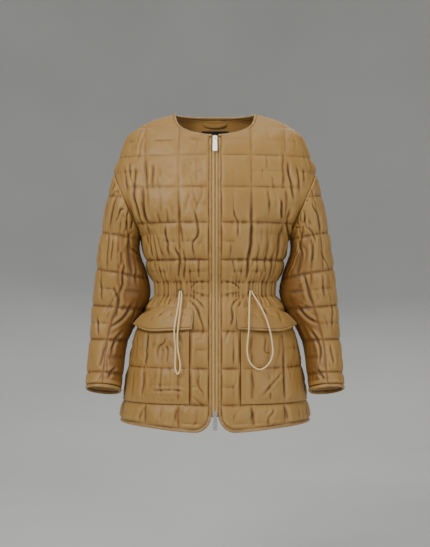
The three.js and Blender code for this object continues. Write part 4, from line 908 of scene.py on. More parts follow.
def make_panel(name, face, side, sizes, fields, seed):
    """A quilted body panel: simulated padding, creases and a plain inside."""
    squares = np.arange(FRONT_START, SIDE_SQUARES + 0.001, 1 / CELLS_PER_SQUARE)
    if face == "back":
        count = int(SIDE_SQUARES * CELLS_PER_SQUARE)
        squares = np.arange(-count, count + 1) / CELLS_PER_SQUARE
    heights = body_heights()

    def places(columns, rows):
        u, z, held = panel_places(face, columns, rows)
        sign = np.where(np.broadcast_to(columns, u.shape) < 0, -1, 1) if face == "back" else side
        across = u * PITCH * (sign if face == "back" else 1)
        point = base_point(face, sign, u, z)
        extra = creases(seed, fields, across, z)
        if face == "front":
            extra += fold_relief(FRONT_FOLDS, point[..., 0], z)
        relief = panel_relief(face, sign, u, z, sizes, sizes.crease * extra)
        return u, z, held, sign, point, body_normal(face, sign, u, z), relief

    u, z, held, sign, base, normal, relief = places(squares, heights)
    near, _, _ = panel_seam(face, sign, u, z)
    pins = held | (near < 0.55 * CLOTH_CELL)
    pins[[0, -1]] = True
    pins[:, [0, -1]] = True
    if face == "front":
        pins |= under_pocket(u, z) > 0.5
    wide = base + normal * relief[..., None]
    wide[..., :2] *= (1 + body_ease(z))[..., None]
    offset = settled(base, normal, relief, pins, wide, sizes.pressure)
    change = finer_field(offset - normal * relief[..., None])
    u2, z2, held2, _, base2, normal2, relief2 = places(upsampled(squares), upsampled(heights))
    outer = base2 + normal2 * relief2[..., None] + change * ~held2[..., None]
    inner = base[::2, ::2] - WALL * normal[::2, ::2]
    faces = wall_faces(outer.shape[:2], inner.shape[:2], False)
    height = ((outer - base2) * normal2).sum(-1)
    # The outside's crease mask carries painted shade in troughs and painted highlight on ridges
    values = np.concatenate([painted_shade_and_highlight(height).ravel(), np.zeros(inner[..., 0].size)])
    points = np.concatenate([outer.reshape(-1, 3), inner.reshape(-1, 3)])
    lining = np.concatenate([np.zeros(outer[..., 0].size), np.ones(inner[..., 0].size)])
    kept, faces, index = merged(points, faces)
    first = np.zeros(len(kept), int)
    first[index] = np.arange(len(index))
    piece = new_piece(f"{name}_cloth", kept, outside_out(kept, faces), finish("satin"),
                      {"painted_shade_and_highlight": values[first], "lining": lining[first]})
    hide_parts(name)
    halves = {"_left": -1, "_right": 1} if face == "back" else {"": side}
    for word, sign in halves.items():
        quilt_panel(f"{name}_quilting{word}", face, sign, upsampled(squares), upsampled(heights), outer)
    return piece


SIDES = {"left": -1, "right": 1}


# Materials. Each is made once, the first time that a piece asks for it


def linear(hex_colour):
    """An sRGB hex colour as linear light with full alpha."""
    parts = [int(hex_colour[k:k + 2], 16) / 255 for k in (1, 3, 5)]
    return [*(c / 12.92 if c <= 0.04045 else ((c + 0.055) / 1.055) ** 2.4 for c in parts), 1.0]


def add_node(tree, kind, properties=None, values=None, links=None):
    """A node with its properties, the values of its sockets and the sockets that feed it."""
    node = tree.nodes.new(kind)
    for key, value in (properties or {}).items():
        setattr(node, key, value)
    for key, value in (values or {}).items():
        node.inputs[key].default_value = value
    for key, socket in (links or {}).items():
        tree.links.new(socket, node.inputs[key])
    return node


def start_material(name, **sockets):
    """A material with its own shader: the tree, the shader and the place on the object in metres."""
    made = bpy.data.materials.new(name)
    made.use_nodes = True
    tree = made.node_tree
    shader = tree.nodes["Principled BSDF"]
    for key, value in sockets.items():
        shader.inputs[key.replace("_", " ")].default_value = value
    place = add_node(tree, "ShaderNodeTexCoord").outputs["Object"]
    return made, tree, shader, place


def per_metre(millimetres):
    """Texture scale that repeats once in so many millimetres."""
    return 1 / (millimetres * MM)


def ramp(tree, factor, stops):
    """Colours by a factor from 0 to 1; stops are pairs of place and colour."""
    node = add_node(tree, "ShaderNodeValToRGB", links={"Fac": factor})
    elements = node.color_ramp.elements
    while len(elements) < len(stops):
        elements.new(0.5)
    for element, (at, colour) in zip(elements, stops):
        element.position = at
        element.color = linear(colour) if isinstance(colour, str) else colour
    return node.outputs["Color"]


def mixed(tree, factor, first, second, blend="MIX"):
    """Colour between two colours; the factor is a number or a socket."""
    node = add_node(tree, "ShaderNodeMix", {"data_type": "RGBA", "blend_type": blend},
                    links={6: first, 7: second})
    if isinstance(factor, float):
        node.inputs[0].default_value = factor
    else:
        tree.links.new(factor, node.inputs[0])
    return node.outputs[2]


# Real threads of nylon satin are 0.1 mm apart, too fine to show, so the weave is drawn at 1.1 mm
WEAVE_MM = 1.1
SLUB_MM = 9.0
SHADE_MM = 90.0


def satin_colour(tree, place, colours):
    """Satin's colour: painted highlight on ridges, painted shade in troughs, a little uneven like any dyed cloth."""
    # Painted light: the crease mask lightens ridges as a painted highlight and darkens troughs as painted shade
    depth = add_node(tree, "ShaderNodeAttribute", {"attribute_name": "painted_shade_and_highlight"}).outputs["Fac"]
    half = add_node(tree, "ShaderNodeMath", {"operation": "MULTIPLY_ADD"}, {1: 0.5, 2: 0.5}, {0: depth})
    colour = ramp(tree, half.outputs[0], [
        (0.0, colours.ridge), (0.42, colours.cloth), (0.56, colours.cloth), (0.72, colours.shade), (1.0, colours.deep),
    ])
    cloud = add_node(tree, "ShaderNodeTexNoise", values={"Scale": per_metre(SHADE_MM), "Detail": 3.0},
                     links={"Vector": place})
    tint = ramp(tree, cloud.outputs["Fac"], [(0.3, "#f2ece2"), (0.7, "#ffffff")])
    return mixed(tree, 1.0, colour, tint, "MULTIPLY")


CRINKLE_MM, CRINKLE_STRETCH, CRINKLE_DEPTH = 16.0, 0.3, 9.0


def weave_bump(tree, place, shader, strength, pitch=WEAVE_MM, distance=0.12):
    """Fine crossed threads and soft slubs as bump."""
    threads = [add_node(tree, "ShaderNodeTexWave", {"bands_direction": axis},
                        {"Scale": per_metre(pitch) / (2 * math.pi), "Distortion": 1.5, "Detail": 1.0},
                        {"Vector": place}).outputs["Fac"] for axis in ("X", "Z")]
    cross = add_node(tree, "ShaderNodeMath", {"operation": "MULTIPLY"}, links={0: threads[0], 1: threads[1]})
    slub = add_node(tree, "ShaderNodeTexNoise", values={"Scale": per_metre(SLUB_MM), "Detail": 4.0},
                    links={"Vector": place})
    height = add_node(tree, "ShaderNodeMath", {"operation": "MULTIPLY_ADD"}, {1: 2.5},
                      {0: slub.outputs["Fac"], 2: cross.outputs[0]})
    upright = add_node(tree, "ShaderNodeMapping", values={"Scale": (1, 1, CRINKLE_STRETCH)}, links={"Vector": place})
    crinkle = add_node(tree, "ShaderNodeTexNoise", values={"Scale": per_metre(CRINKLE_MM), "Detail": 2.0},
                       links={"Vector": upright.outputs[0]})
    height = add_node(tree, "ShaderNodeMath", {"operation": "MULTIPLY_ADD"}, {1: CRINKLE_DEPTH},
                      {0: crinkle.outputs["Fac"], 2: height.outputs[0]})
    bump = add_node(tree, "ShaderNodeBump", values={"Strength": strength, "Distance": distance * MM},
                    links={"Height": height.outputs[0]})
    tree.links.new(bump.outputs["Normal"], shader.inputs["Normal"])


def make_satin():
    """Nylon satin, woven: a smooth cloth with a broad soft gloss and a pale sheen at grazing angles."""
    colours = bpy.context.scene.jacket_colours
    made, tree, shader, place = start_material(
        "nylon_satin_woven", Roughness=0.46, Sheen_Weight=0.18, Sheen_Roughness=0.4)
    shader.inputs["Specular IOR Level"].default_value = 0.34
    shader.inputs["Sheen Tint"].default_value = linear("#e0c594")
    lining = add_node(tree, "ShaderNodeAttribute", {"attribute_name": "lining"}).outputs["Fac"]
    inside = add_node(tree, "ShaderNodeRGB")
    inside.outputs[0].default_value = colours.lining
    colour = mixed(tree, lining, satin_colour(tree, place, colours), inside.outputs[0])
    tree.links.new(colour, shader.inputs["Base Color"])
    weave_bump(tree, place, shader, 0.35)
    return made


def make_trim():
    """The same nylon satin cut on the bias and folded: a little darker in random patches."""
    colours = bpy.context.scene.jacket_colours
    made, tree, shader, place = start_material(
        "nylon_satin_bias_folded", Roughness=0.44, Sheen_Weight=0.15, Sheen_Roughness=0.4)
    cloud = add_node(tree, "ShaderNodeTexNoise", values={"Scale": per_metre(14), "Detail": 3.0},
                     links={"Vector": place})
    tree.links.new(ramp(tree, cloud.outputs["Fac"], [(0.3, colours.trim_low), (0.7, colours.trim)]),
                   shader.inputs["Base Color"])
    weave_bump(tree, place, shader, 0.4)
    return made


def make_tape():
    """Polyester zip tape, woven in a close twill: matt, with slanted ribs about 1 mm apart."""
    colours = bpy.context.scene.jacket_colours
    made, tree, shader, place = start_material("polyester_tape_woven", Roughness=0.75, Sheen_Weight=0.1)
    ribs = add_node(tree, "ShaderNodeTexWave", {"bands_direction": "DIAGONAL"},
                    {"Scale": per_metre(1.0) / (2 * math.pi), "Distortion": 0.5}, {"Vector": place})
    tree.links.new(ramp(tree, ribs.outputs["Fac"], [(0.2, colours.tape_low), (0.8, colours.tape)]),
                   shader.inputs["Base Color"])
    bump = add_node(tree, "ShaderNodeBump", values={"Strength": 0.5, "Distance": 0.15 * MM},
                    links={"Height": ribs.outputs["Fac"]})
    tree.links.new(bump.outputs["Normal"], shader.inputs["Normal"])
    return made


def make_coil():
    """Nylon monofilament, drawn and coiled: smooth with a small hard gloss."""
    colours = bpy.context.scene.jacket_colours
    made, tree, shader, place = start_material("nylon_coil_drawn", Roughness=0.34, Coat_Weight=0.15)
    cloud = add_node(tree, "ShaderNodeTexNoise", values={"Scale": per_metre(3)}, links={"Vector": place})
    tree.links.new(ramp(tree, cloud.outputs["Fac"], [(0.3, colours.tape_low), (0.7, colours.coil)]),
                   shader.inputs["Base Color"])
    return made


def make_thread():
    """Polyester sewing thread, twisted: matt, close to the cloth in colour."""
    colours = bpy.context.scene.jacket_colours
    made, tree, shader, place = start_material("polyester_thread_twisted", Roughness=0.6, Sheen_Weight=0.2)
    twist = add_node(tree, "ShaderNodeTexNoise", values={"Scale": per_metre(0.8)}, links={"Vector": place})
    tree.links.new(ramp(tree, twist.outputs["Fac"], [(0.3, colours.shade), (0.7, colours.thread)]),
                   shader.inputs["Base Color"])
    return made


def make_cord():
    """Cotton and polyester cord, braided: pale, matt, with painted shade in the gaps between the strands."""
    colours = bpy.context.scene.jacket_colours
    made, tree, shader, place = start_material("cotton_cord_braided", Roughness=0.8, Sheen_Weight=0.3)
    strand = add_node(tree, "ShaderNodeAttribute", {"attribute_name": "strand"}).outputs["Fac"]
    tree.links.new(ramp(tree, strand, [(0.0, colours.cord_gap_shade), (0.45, colours.cord), (1.0, colours.cord)]),
                   shader.inputs["Base Color"])
    fuzz = add_node(tree, "ShaderNodeTexNoise", values={"Scale": per_metre(0.5), "Detail": 4.0},
                    links={"Vector": place})
    bump = add_node(tree, "ShaderNodeBump", values={"Strength": 0.4, "Distance": 0.1 * MM},
                    links={"Height": fuzz.outputs["Fac"]})
    tree.links.new(bump.outputs["Normal"], shader.inputs["Normal"])
    return made


def make_metal(name, light, dark, roughness):
    """A plated metal: bright, with faint smears in its polish from handling."""
    made, tree, shader, place = start_material(name, Metallic=1.0, Roughness=roughness)
    smear = add_node(tree, "ShaderNodeTexNoise", values={"Scale": per_metre(2.5), "Detail": 5.0},
                     links={"Vector": place})
    tree.links.new(ramp(tree, smear.outputs["Fac"], [(0.3, dark), (0.65, light)]), shader.inputs["Base Color"])
    rough = add_node(tree, "ShaderNodeMath", {"operation": "MULTIPLY_ADD"}, {1: 0.18, 2: roughness - 0.07},
                     {0: smear.outputs["Fac"]})
    tree.links.new(rough.outputs[0], shader.inputs["Roughness"])
    return made


def make_label():
    """Black satin ribbon, woven: nearly black with a faint gloss across its threads."""
    made, tree, shader, place = start_material("polyester_ribbon_woven", Roughness=0.5)
    ribs = add_node(tree, "ShaderNodeTexWave", {"bands_direction": "Z"},
                    {"Scale": per_metre(0.9) / (2 * math.pi)}, {"Vector": place})
    tree.links.new(ramp(tree, ribs.outputs["Fac"], [(0.2, "#0c0c0d"), (0.8, "#1b1b1d")]),
                   shader.inputs["Base Color"])
    return made


def make_floor():
    """Matt painted board of the studio: pale, with barely visible unevenness."""
    colours = bpy.context.scene.jacket_colours
    made, tree, shader, place = start_material("painted_board_matt", Roughness=0.9)
    cloud = add_node(tree, "ShaderNodeTexNoise", values={"Scale": per_metre(700), "Detail": 2.0},
                     links={"Vector": place})
    tree.links.new(ramp(tree, cloud.outputs["Fac"], [(0.3, colours.floor_low), (0.7, colours.floor)]),
                   shader.inputs["Base Color"])
    return made


MAKERS = {
    "satin": make_satin, "trim": make_trim, "tape": make_tape, "coil": make_coil, "thread": make_thread,
    "cord": make_cord, "label": make_label, "floor": make_floor,
    "steel": lambda: make_metal("nickel_plated_zinc_cast", "#e6e6e4", "#c4c4c2", 0.24),
    "brass": lambda: make_metal("brass_pressed_aged", "#8f7d54", "#5e5136", 0.42),
}
FINISHES = {}


def finish(name):
    """The material of that name, made when it is first needed."""
    if name not in FINISHES:
        FINISHES[name] = MAKERS[name]()
    return FINISHES[name]


def finish_node(node, name):
    """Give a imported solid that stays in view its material."""
    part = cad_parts[node]
    for place in part.material_slots:
        place.material = finish(name)


# Sleeves

SLEEVE_AROUND = 96
SLEEVE_PUFF_SHARE = 0.85
INNER_FULL, INNER_FULL_ROW, INNER_FULL_REACH = 9.5, 2.7, 1.0
# Strength of the painted shade on the side of a sleeve that faces the body
SHADE_INSIDE = 0.5
SLEEVE_ROUND_MM = 72.0


def sleeve_relief(side, row, angle, sizes):
    """Relief of a sleeve's quilting and creases."""
    rows = sleeve_rows(row, angle)
    near, near_line = seam_distances(sleeve_squares(rows, angle), rows, 1)
    turned = (angle + math.pi) % (2 * math.pi) - math.pi
    inner = 0.5 - 0.5 * np.cos(angle)
    puff = SLEEVE_PUFF_SHARE * sizes.puff / MM * puffed(near, near_line) * (1 - 0.6 * inner ** 2)
    ring = 2 * math.pi * SLEEVE_ROUND_MM
    extra = creases(23 if side > 0 else 41, SLEEVE_CREASES, turned * SLEEVE_ROUND_MM, row * PITCH, ring)
    point = sleeve_point(side, row, angle)
    extra += fold_relief(SLEEVE_FOLDS, point[..., 0], point[..., 2]) * faded(np.sin(angle) / 0.25)
    ends = faded(row / 0.12) * faded((CUFF_ROW - row) / 0.06)
    full = INNER_FULL * np.exp(-(((row - INNER_FULL_ROW) / INNER_FULL_REACH) ** 2)) * inner ** 3
    return (puff + extra * (0.45 + 0.55 * faded(near / 7)) * (1 - 0.5 * inner ** 4) + full) * ends, near


def make_sleeve(name, side, sizes):
    """A quilted sleeve, one closed tube from the dropped armhole seam to the cuff."""
    rows = np.append(np.arange(0, 102) / CELLS_PER_SQUARE, CUFF_ROW)
    angles = np.arange(SLEEVE_AROUND) / SLEEVE_AROUND * 2 * math.pi
    fine_angles = np.arange(FINER * SLEEVE_AROUND) / (FINER * SLEEVE_AROUND) * 2 * math.pi

    def places(down, around):
        angle, row = np.meshgrid(around, down)
        base = sleeve_point(side, row, angle)
        away = sleeve_point(side, row, angle, 1.0) - base
        relief, near = sleeve_relief(side, row, angle, sizes)
        return row, base, away, relief, near

    row, base, away, relief, near = places(rows, angles)
    pins = near < 0.5 * CLOTH_CELL
    pins[[0, -1]] = True
    middle = sleeve_frame(side, row)[0]
    ease = 0.06 + 0.04 * np.exp(-(((row - 4) / 0.8) ** 2))
    wide = middle + (base + away * relief[..., None] - middle) * (1 + ease[..., None])
    offset = settled(base, away, relief, pins, wide, sizes.pressure, ring=True)
    change = finer_field(offset - away * relief[..., None], closed=True)
    _, base2, away2, relief2, _ = places(upsampled(rows), fine_angles)
    outer = base2 + away2 * relief2[..., None] + change
    inner = base[::2, ::2] - WALL * away[::2, ::2]
    faces = wall_faces(outer.shape[:2], inner.shape[:2], True)
    height = ((outer - base2) * away2).sum(-1)
    points = np.concatenate([outer.reshape(-1, 3), inner.reshape(-1, 3)])
    # Painted shade: the inner side of each sleeve below the armhole is darkened on top of the painted crease shade and
    # highlight
    shade_toward_body_mask = faded(0.5 - 0.75 * np.cos(fine_angles))[None, :] * faded((upsampled(rows) - 0.6) / 1.4)[:, None]
    painted_sleeve_shade = np.clip(painted_shade_and_highlight(height, ring=True) + SHADE_INSIDE * shade_toward_body_mask, -1, 1)
    depth = np.concatenate([painted_sleeve_shade.ravel(), np.zeros(inner[..., 0].size)])
    lining = np.concatenate([np.zeros(outer[..., 0].size), np.ones(inner[..., 0].size)])
    piece = new_piece(f"{name}_cloth", points, outside_out(points, faces), finish("satin"),
                      {"painted_shade_and_highlight": depth, "lining": lining})
    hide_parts(name)
    quilt_sleeve(f"{name}_quilting", side, upsampled(rows), fine_angles, outer)
    return piece


# Pockets and flaps


# Reach of the painted shade along a pocket's edge
POCKET_EDGE_SHADE_REACH = 2.2


def make_pocket(name, side, sizes):
    """A quilted patch pocket with rounded edges, sewn on the front."""
    columns = np.concatenate([[POCKET["inner"], 0.72], np.arange(0.75, POCKET["outer"] + 0.001, 1 / CELLS_PER_SQUARE)])
    all_heights = body_heights()
    inside = all_heights[(all_heights < POCKET["top"] - 2) & (all_heights > POCKET["bottom"] - 0.01)]
    heights = np.concatenate([[POCKET["top"]], inside])
    if len(heights) % 2 == 0:
        heights = np.insert(heights, 1, (heights[0] + heights[1]) / 2)

    def places(across, down):
        u, z = np.meshgrid(across, down)
        base, normal = base_point("front", side, u, z), body_normal("front", side, u, z)
        to_edge = np.minimum(np.minimum(u - POCKET["inner"], POCKET["outer"] - u) * PITCH,
                             np.minimum(POCKET["top"] - z, z - POCKET["bottom"]))
        v = row_number(z)
        near, near_line = seam_distances(u, v, side + 2)
        near = np.minimum(near, np.abs(to_edge - 7) + 2)
        edge = np.sqrt(np.clip(1 - (1 - to_edge / 3.2) ** 2, 0, 1)) * (to_edge < 3.2) + (to_edge >= 3.2)
        puff = sizes.puff / MM * 0.72 * puffed(near, near_line) * faded(to_edge / 8)
        extra = creases(61 + side, POCKET_CREASES, u * PITCH, z) + fold_relief(POCKET_FOLDS, base[..., 0], z)
        extra *= faded(to_edge / 10)
        under_flap = 1 - 0.5 * faded((z + 512) / 10)
        relief = SEAM_GAP + POCKET["thick"] * edge + (puff + extra) * under_flap
        return base, normal, relief, near, to_edge

    base, normal, relief, near, to_edge = places(columns, heights)
    pins = (near < 0.55 * CLOTH_CELL) | (to_edge < 4)
    pins |= np.broadcast_to((heights > -512)[:, None], pins.shape)
    wide = base + normal * relief[..., None]
    wide[..., :2] *= 1.08
    offset = settled(base, normal, relief, pins, wide, sizes.pressure)
    change = finer_field(offset - normal * relief[..., None])
    base2, normal2, relief2, _, edge2 = places(upsampled(columns), upsampled(heights))
    outer = base2 + normal2 * relief2[..., None] + change
    inner = base[::2, ::2] + SEAM_GAP * normal[::2, ::2]
    height = ((outer - base2) * normal2).sum(-1)
    points = np.concatenate([outer.reshape(-1, 3), inner.reshape(-1, 3)])
    # Painted shade: a dark band along the pocket's edge and the darkest shade on its hidden inside, on top of the
    # painted crease shade and highlight
    rim = np.exp(-(edge2 / POCKET_EDGE_SHADE_REACH) ** 2)
    depth = np.concatenate([np.clip(painted_shade_and_highlight(height) + rim, -1, 1).ravel(), np.full(inner[..., 0].size, 1.0)])
    faces = outside_out(points, wall_faces(outer.shape[:2], inner.shape[:2], False))
    piece = new_piece(f"{name}_cloth", points, faces, finish("satin"), {"painted_shade_and_highlight": depth})
    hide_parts(name)
    return piece


def flap_point(side, s, t, more):
    """Points of a pocket flap: part of its length from the centre, part of its depth."""
    x = look(FLAP, "s", s, "top_x") * (1 - t) + look(FLAP, "s", s, "low_x") * t
    z = look(FLAP, "s", s, "top_z") * (1 - t) + look(FLAP, "s", s, "low_z") * t
    lift = FLAP_LIFT_TOP + (FLAP_LIFT_LOW - FLAP_LIFT_TOP) * np.maximum(t, 0) ** 0.8 + FLAP_LIFT_END * s ** 4
    return face_point("front", side * x, z, lift + more)


FLAP_CREASES = table(CREASE_COLUMNS, [
    (10, 120, 4, 30, 5, 0.9, 3.2, 24, 8, 14), (20, 110, 6, 24, 3, 0.8, 4.0, 30, 70, 20),
])
FLAP_LENGTH_MM, FLAP_DEPTH_MM = 128.0, 50.0
FLAP_INSET_S, FLAP_INSET_T = 0.035, 0.1


def flap_relief(side, s, t):
    """Crown and soft creases of a flap's face."""
    crown = 1.9 * np.sin(math.pi * np.clip(s, 0, 1)) ** 0.4 * np.sin(math.pi * np.clip(t / 0.9, 0, 1)) ** 0.5
    extra = creases(83 + side, FLAP_CREASES, s * FLAP_LENGTH_MM, t * FLAP_DEPTH_MM)
    border = faded((s - 0.03) / 0.1) * faded((0.97 - s) / 0.1) * faded(t / 0.1) * faded((0.9 - t) / 0.15)
    return crown + extra * border


def make_flap(name, side, sizes):
    """A plain satin pocket flap, slightly padded, standing off the pocket at its lower edge."""
    s = np.linspace(FLAP_INSET_S, 1 - FLAP_INSET_S, 89)
    t = np.linspace(0, 1 - FLAP_INSET_T, 37)
    s, t = np.meshgrid(s, t)
    relief = flap_relief(side, s, t)
    outer = flap_point(side, s, t, FLAP_THICK + relief)[0]
    inner = flap_point(side, s[::4, ::4], t[::4, ::4], 0.0)[0]
    points = np.concatenate([outer.reshape(-1, 3), inner.reshape(-1, 3)])
    # Painted shade in the flap's creases and painted highlight on their ridges, stronger than the relief alone gives
    depth = np.concatenate([painted_shade_and_highlight(relief * 1.6).ravel(), np.zeros(inner[..., 0].size)])
    faces = outside_out(points, wall_faces(outer.shape[:2], inner.shape[:2], False))
    piece = new_piece(f"{name}_cloth", points, faces, finish("satin"), {"painted_shade_and_highlight": depth})
    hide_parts(name)
    return piece


# Bindings: folded strips lofted along the cloth's edges

BINDING_SECTION = [
    (0.02, -2.6), (0, -0.9), (0, 0.3), (0.05, 1.1), (0.18, 1.75), (0.38, 2.15), (0.6, 2.2), (0.8, 1.85),
    (0.93, 1.15), (1.0, 0.2), (1.0, -0.8), (0.96, -1.8), (0.88, -2.5),
]
BINDING_STEP = 3.0


def evenly(points, step):
    """Points of a line resampled at even distances."""
    points = np.asarray(points, float)
    run = np.concatenate([[0], np.cumsum(np.linalg.norm(np.diff(points, axis=0), axis=1))])
    places = np.linspace(0, run[-1], max(2, round(run[-1] / step)) + 1)
    return np.stack([np.interp(places, run, points[:, k]) for k in range(points.shape[1])], -1)


def lofted(name, seam, edge, normal, slot, material, section_points=BINDING_SECTION, closed=False, seed=5,
           seam_up=None, node=None):
    """A strip from its seam line to its edge line, with its folded section at each station."""
    rng = np.random.default_rng(seed)
    count = len(seam)
    pucker = 1 + 0.12 * np.interp(np.arange(count), np.arange(0, count, 2), rng.normal(size=(count + 1) // 2))
    rings = []
    for part, lift in section_points:
        direction = normal if part > 0.01 or seam_up is None else seam_up
        raised = lift * (pucker[:, None] if lift > 1 else 1)
        rings.append(seam * (1 - part) + edge * part + direction * raised)
    points = np.stack(rings, 1)
    rows = count + 1 if closed else count
    grid = points.reshape(-1, 3)
    faces = [[k % len(grid) for k in face] for face in grid_faces(rows, len(section_points), ring=True)]
    if not closed:
        size = len(section_points)
        faces += [list(range(size))[::-1], list(range(len(grid) - size, len(grid)))]
    piece = new_piece(name if node else f"{name}_fold", grid, outside_out(grid, faces), finish(material))
    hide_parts(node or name)
    return piece


def bound(name, seam, edge, normal, stitched=((0.2, 1.85),), **settings):
    """A binding and the lines of stitching on it."""
    piece = lofted(name, seam, edge, normal, "trim", "trim", **settings)
    return [(seam * (1 - part) + edge * part + normal * lift, normal) for part, lift in stitched]


def face_strip(name, face, seam, edge, **settings):
    """A strip on the front or back from its seam line to its edge line, both as x and z."""
    low, normal = face_point(face, seam[:, 0], seam[:, 1])
    high = face_point(face, edge[:, 0], edge[:, 1])[0]
    return bound(name, low, high, normal, **settings)


def shifted(path, shift):
    """A line in x and z moved sideways, to the left of its run when the shift is positive."""
    step = np.gradient(path, axis=0)
    step /= np.linalg.norm(step, axis=1, keepdims=True)
    return path + shift * np.stack([-step[:, 1], step[:, 0]], 1)


def front_edge_path():
    """Free edge of the front from the neck down and round the corner to the hem."""
    straight = [(EDGE_X, z) for z in np.arange(-64, CORNER_Z, -BINDING_STEP)]
    turn = np.linspace(0, math.pi / 2, 22)
    corner = np.stack([CORNER_X - (CORNER_X - EDGE_X) * np.cos(turn),
                       CORNER_Z - (CORNER_Z - HEM_FRONT["z"][0]) * np.sin(turn)], 1)
    return np.concatenate([straight, corner])


def hem_path(rows, start, end):
    x = np.arange(start, end, BINDING_STEP)
    x = np.append(x, end)
    return np.stack([x, look(rows, "x", np.abs(x), "z")], 1)


def mirrored(path, side):
    return path * np.array([side, 1])


def side_x(face):
    """X where the body's side is at the hem, less a small gap."""
    return float(section(face, np.array(-716.0))[0]) - 1.5


def make_front_binding(side, word):
    path = front_edge_path()
    seam = mirrored(shifted(path, BINDING_WIDTH), side)
    return face_strip(f"front_binding_{word}", "front", seam, mirrored(path, side), seed=11 + side)


def make_hem_binding(name, face, rows, start, end, side):
    path = hem_path(rows, start, end)
    seam = mirrored(shifted(path, BINDING_WIDTH), side)
    return face_strip(name, face, seam, mirrored(path, side), seed=17 + side)


def make_neck_binding():
    """Binding of the neckline, from one front edge round the back to the other."""
    start = math.asin((EDGE_X / NECK_EDGE[0]) ** (SECTION_POWER / 2))
    angle = np.linspace(start, 2 * math.pi - start, 181)
    outer = np.stack(neck_oval(NECK_SEAM, angle), 1) * (1 - SEAM_GAP / 90)
    inner = np.stack(neck_oval(NECK_EDGE, angle), 1)
    seam = np.column_stack([outer, height_above(outer[:, 0] / (1 - SEAM_GAP / 90), outer[:, 1] / (1 - SEAM_GAP / 90))])
    edge = np.column_stack([inner, height_above(inner[:, 0], inner[:, 1])])
    run = np.gradient(seam, axis=0)
    normal = outward(run, edge - seam, seam * [1, 1, 0] + [0, 0, 120])
    up = np.array([0, 0, 1]) / np.maximum(normal[:, 2:], 0.5)
    return bound("neck_binding", seam, edge, normal, seam_up=up, seed=29)


def make_cuff_binding(side, word):
    """Binding round the open end of a sleeve."""
    angle = np.linspace(0, 2 * math.pi, 121)[:-1]
    drop = np.array([0, 0, -SEAM_GAP])
    seam = sleeve_point(side, CUFF_ROW, angle) + drop
    edge = sleeve_point(side, CUFF_EDGE_ROW, angle) + drop
    normal = sleeve_point(side, CUFF_ROW, angle, 1.0) + drop - seam
    return bound(f"cuff_binding_{word}", seam, edge, normal, closed=True, seed=37 + side)


FLAP_BINDING_SECTION = [
    (0, -4.0), (0, -1.5), (0, 0.4), (0.12, 1.0), (0.4, 1.35), (0.7, 1.2), (0.9, 0.6), (1.0, -0.2), (1.0, -2.0),
    (0.97, -3.4), (0.9, -4.0),
]


def make_flap_binding(side, word):
    """Binding round the two ends and the lower edge of a flap."""
    low, gap_s = 1 - FLAP_INSET_T + 0.008, FLAP_INSET_S - 0.003
    corners_seam = np.array([(gap_s, 0), (gap_s, low), (1 - gap_s, low), (1 - gap_s, 0)])
    corners_edge = np.array([(0, 0), (0, 1), (1, 1), (1, 0)], float)
    counts = (16, 44, 16)
    seam, edge = [], []
    for k, count in enumerate(counts):
        t = np.arange(count + (k == 2))[:, None] / count
        seam.append(corners_seam[k] * (1 - t) + corners_seam[k + 1] * t)
        edge.append(corners_edge[k] * (1 - t) + corners_edge[k + 1] * t)
    seam, edge = np.concatenate(seam), np.concatenate(edge)
    low_line = flap_point(side, seam[:, 0], seam[:, 1], FLAP_THICK)[0]
    high_line = flap_point(side, edge[:, 0], edge[:, 1], FLAP_THICK)[0]
    normal = flap_point(side, seam[:, 0], seam[:, 1], FLAP_THICK + 1)[0] - low_line
    return bound(f"flap_binding_{word}", low_line, high_line, normal, stitched=((0.2, 1.2), (0.75, 1.1)),
                 section_points=FLAP_BINDING_SECTION, seed=43 + side)


# Drawcords

BRAID_STRANDS = 8
BRAID_PITCH_MM = 7.5
BRAID_DEPTH = 0.16
CORD_STEP, CORD_AROUND = 0.5, 24


def smooth_curve(points, step):
    """A centripetal curve through points, resampled at even distances."""
    points = np.asarray(points, float)
    ends = np.concatenate([[2 * points[0] - points[1]], points, [2 * points[-1] - points[-2]]])
    made = []
    for k in range(1, len(ends) - 2):
        p = ends[k - 1:k + 3]
        knots = np.concatenate([[0], np.cumsum(np.maximum(np.linalg.norm(np.diff(p, axis=0), axis=1), 1e-6) ** 0.5)])
        t = np.linspace(knots[1], knots[2], 16, endpoint=False)[:, None]
        a = [((knots[i + 1] - t) * p[i] + (t - knots[i]) * p[i + 1]) / (knots[i + 1] - knots[i]) for i in range(3)]
        b = [((knots[i + 2] - t) * a[i] + (t - knots[i]) * a[i + 1]) / (knots[i + 2] - knots[i]) for i in range(2)]
        made.append(((knots[2] - t) * b[0] + (t - knots[1]) * b[1]) / (knots[2] - knots[1]))
    made.append(ends[-2:-1])
    return evenly(np.concatenate(made), step)


def carried_frames(path):
    """Two directions across a line at each point, turned as little as can be from point to point."""
    along = unit(np.gradient(path, axis=0))
    first = np.empty_like(path)
    axis = np.array([1.0, 0, 0]) if abs(along[0][0]) < 0.8 else np.array([0, 0, 1.0])
    for k, tangent in enumerate(along):
        axis = axis - tangent * axis.dot(tangent)
        axis /= np.linalg.norm(axis)
        first[k] = axis
    return first, np.cross(along, first)


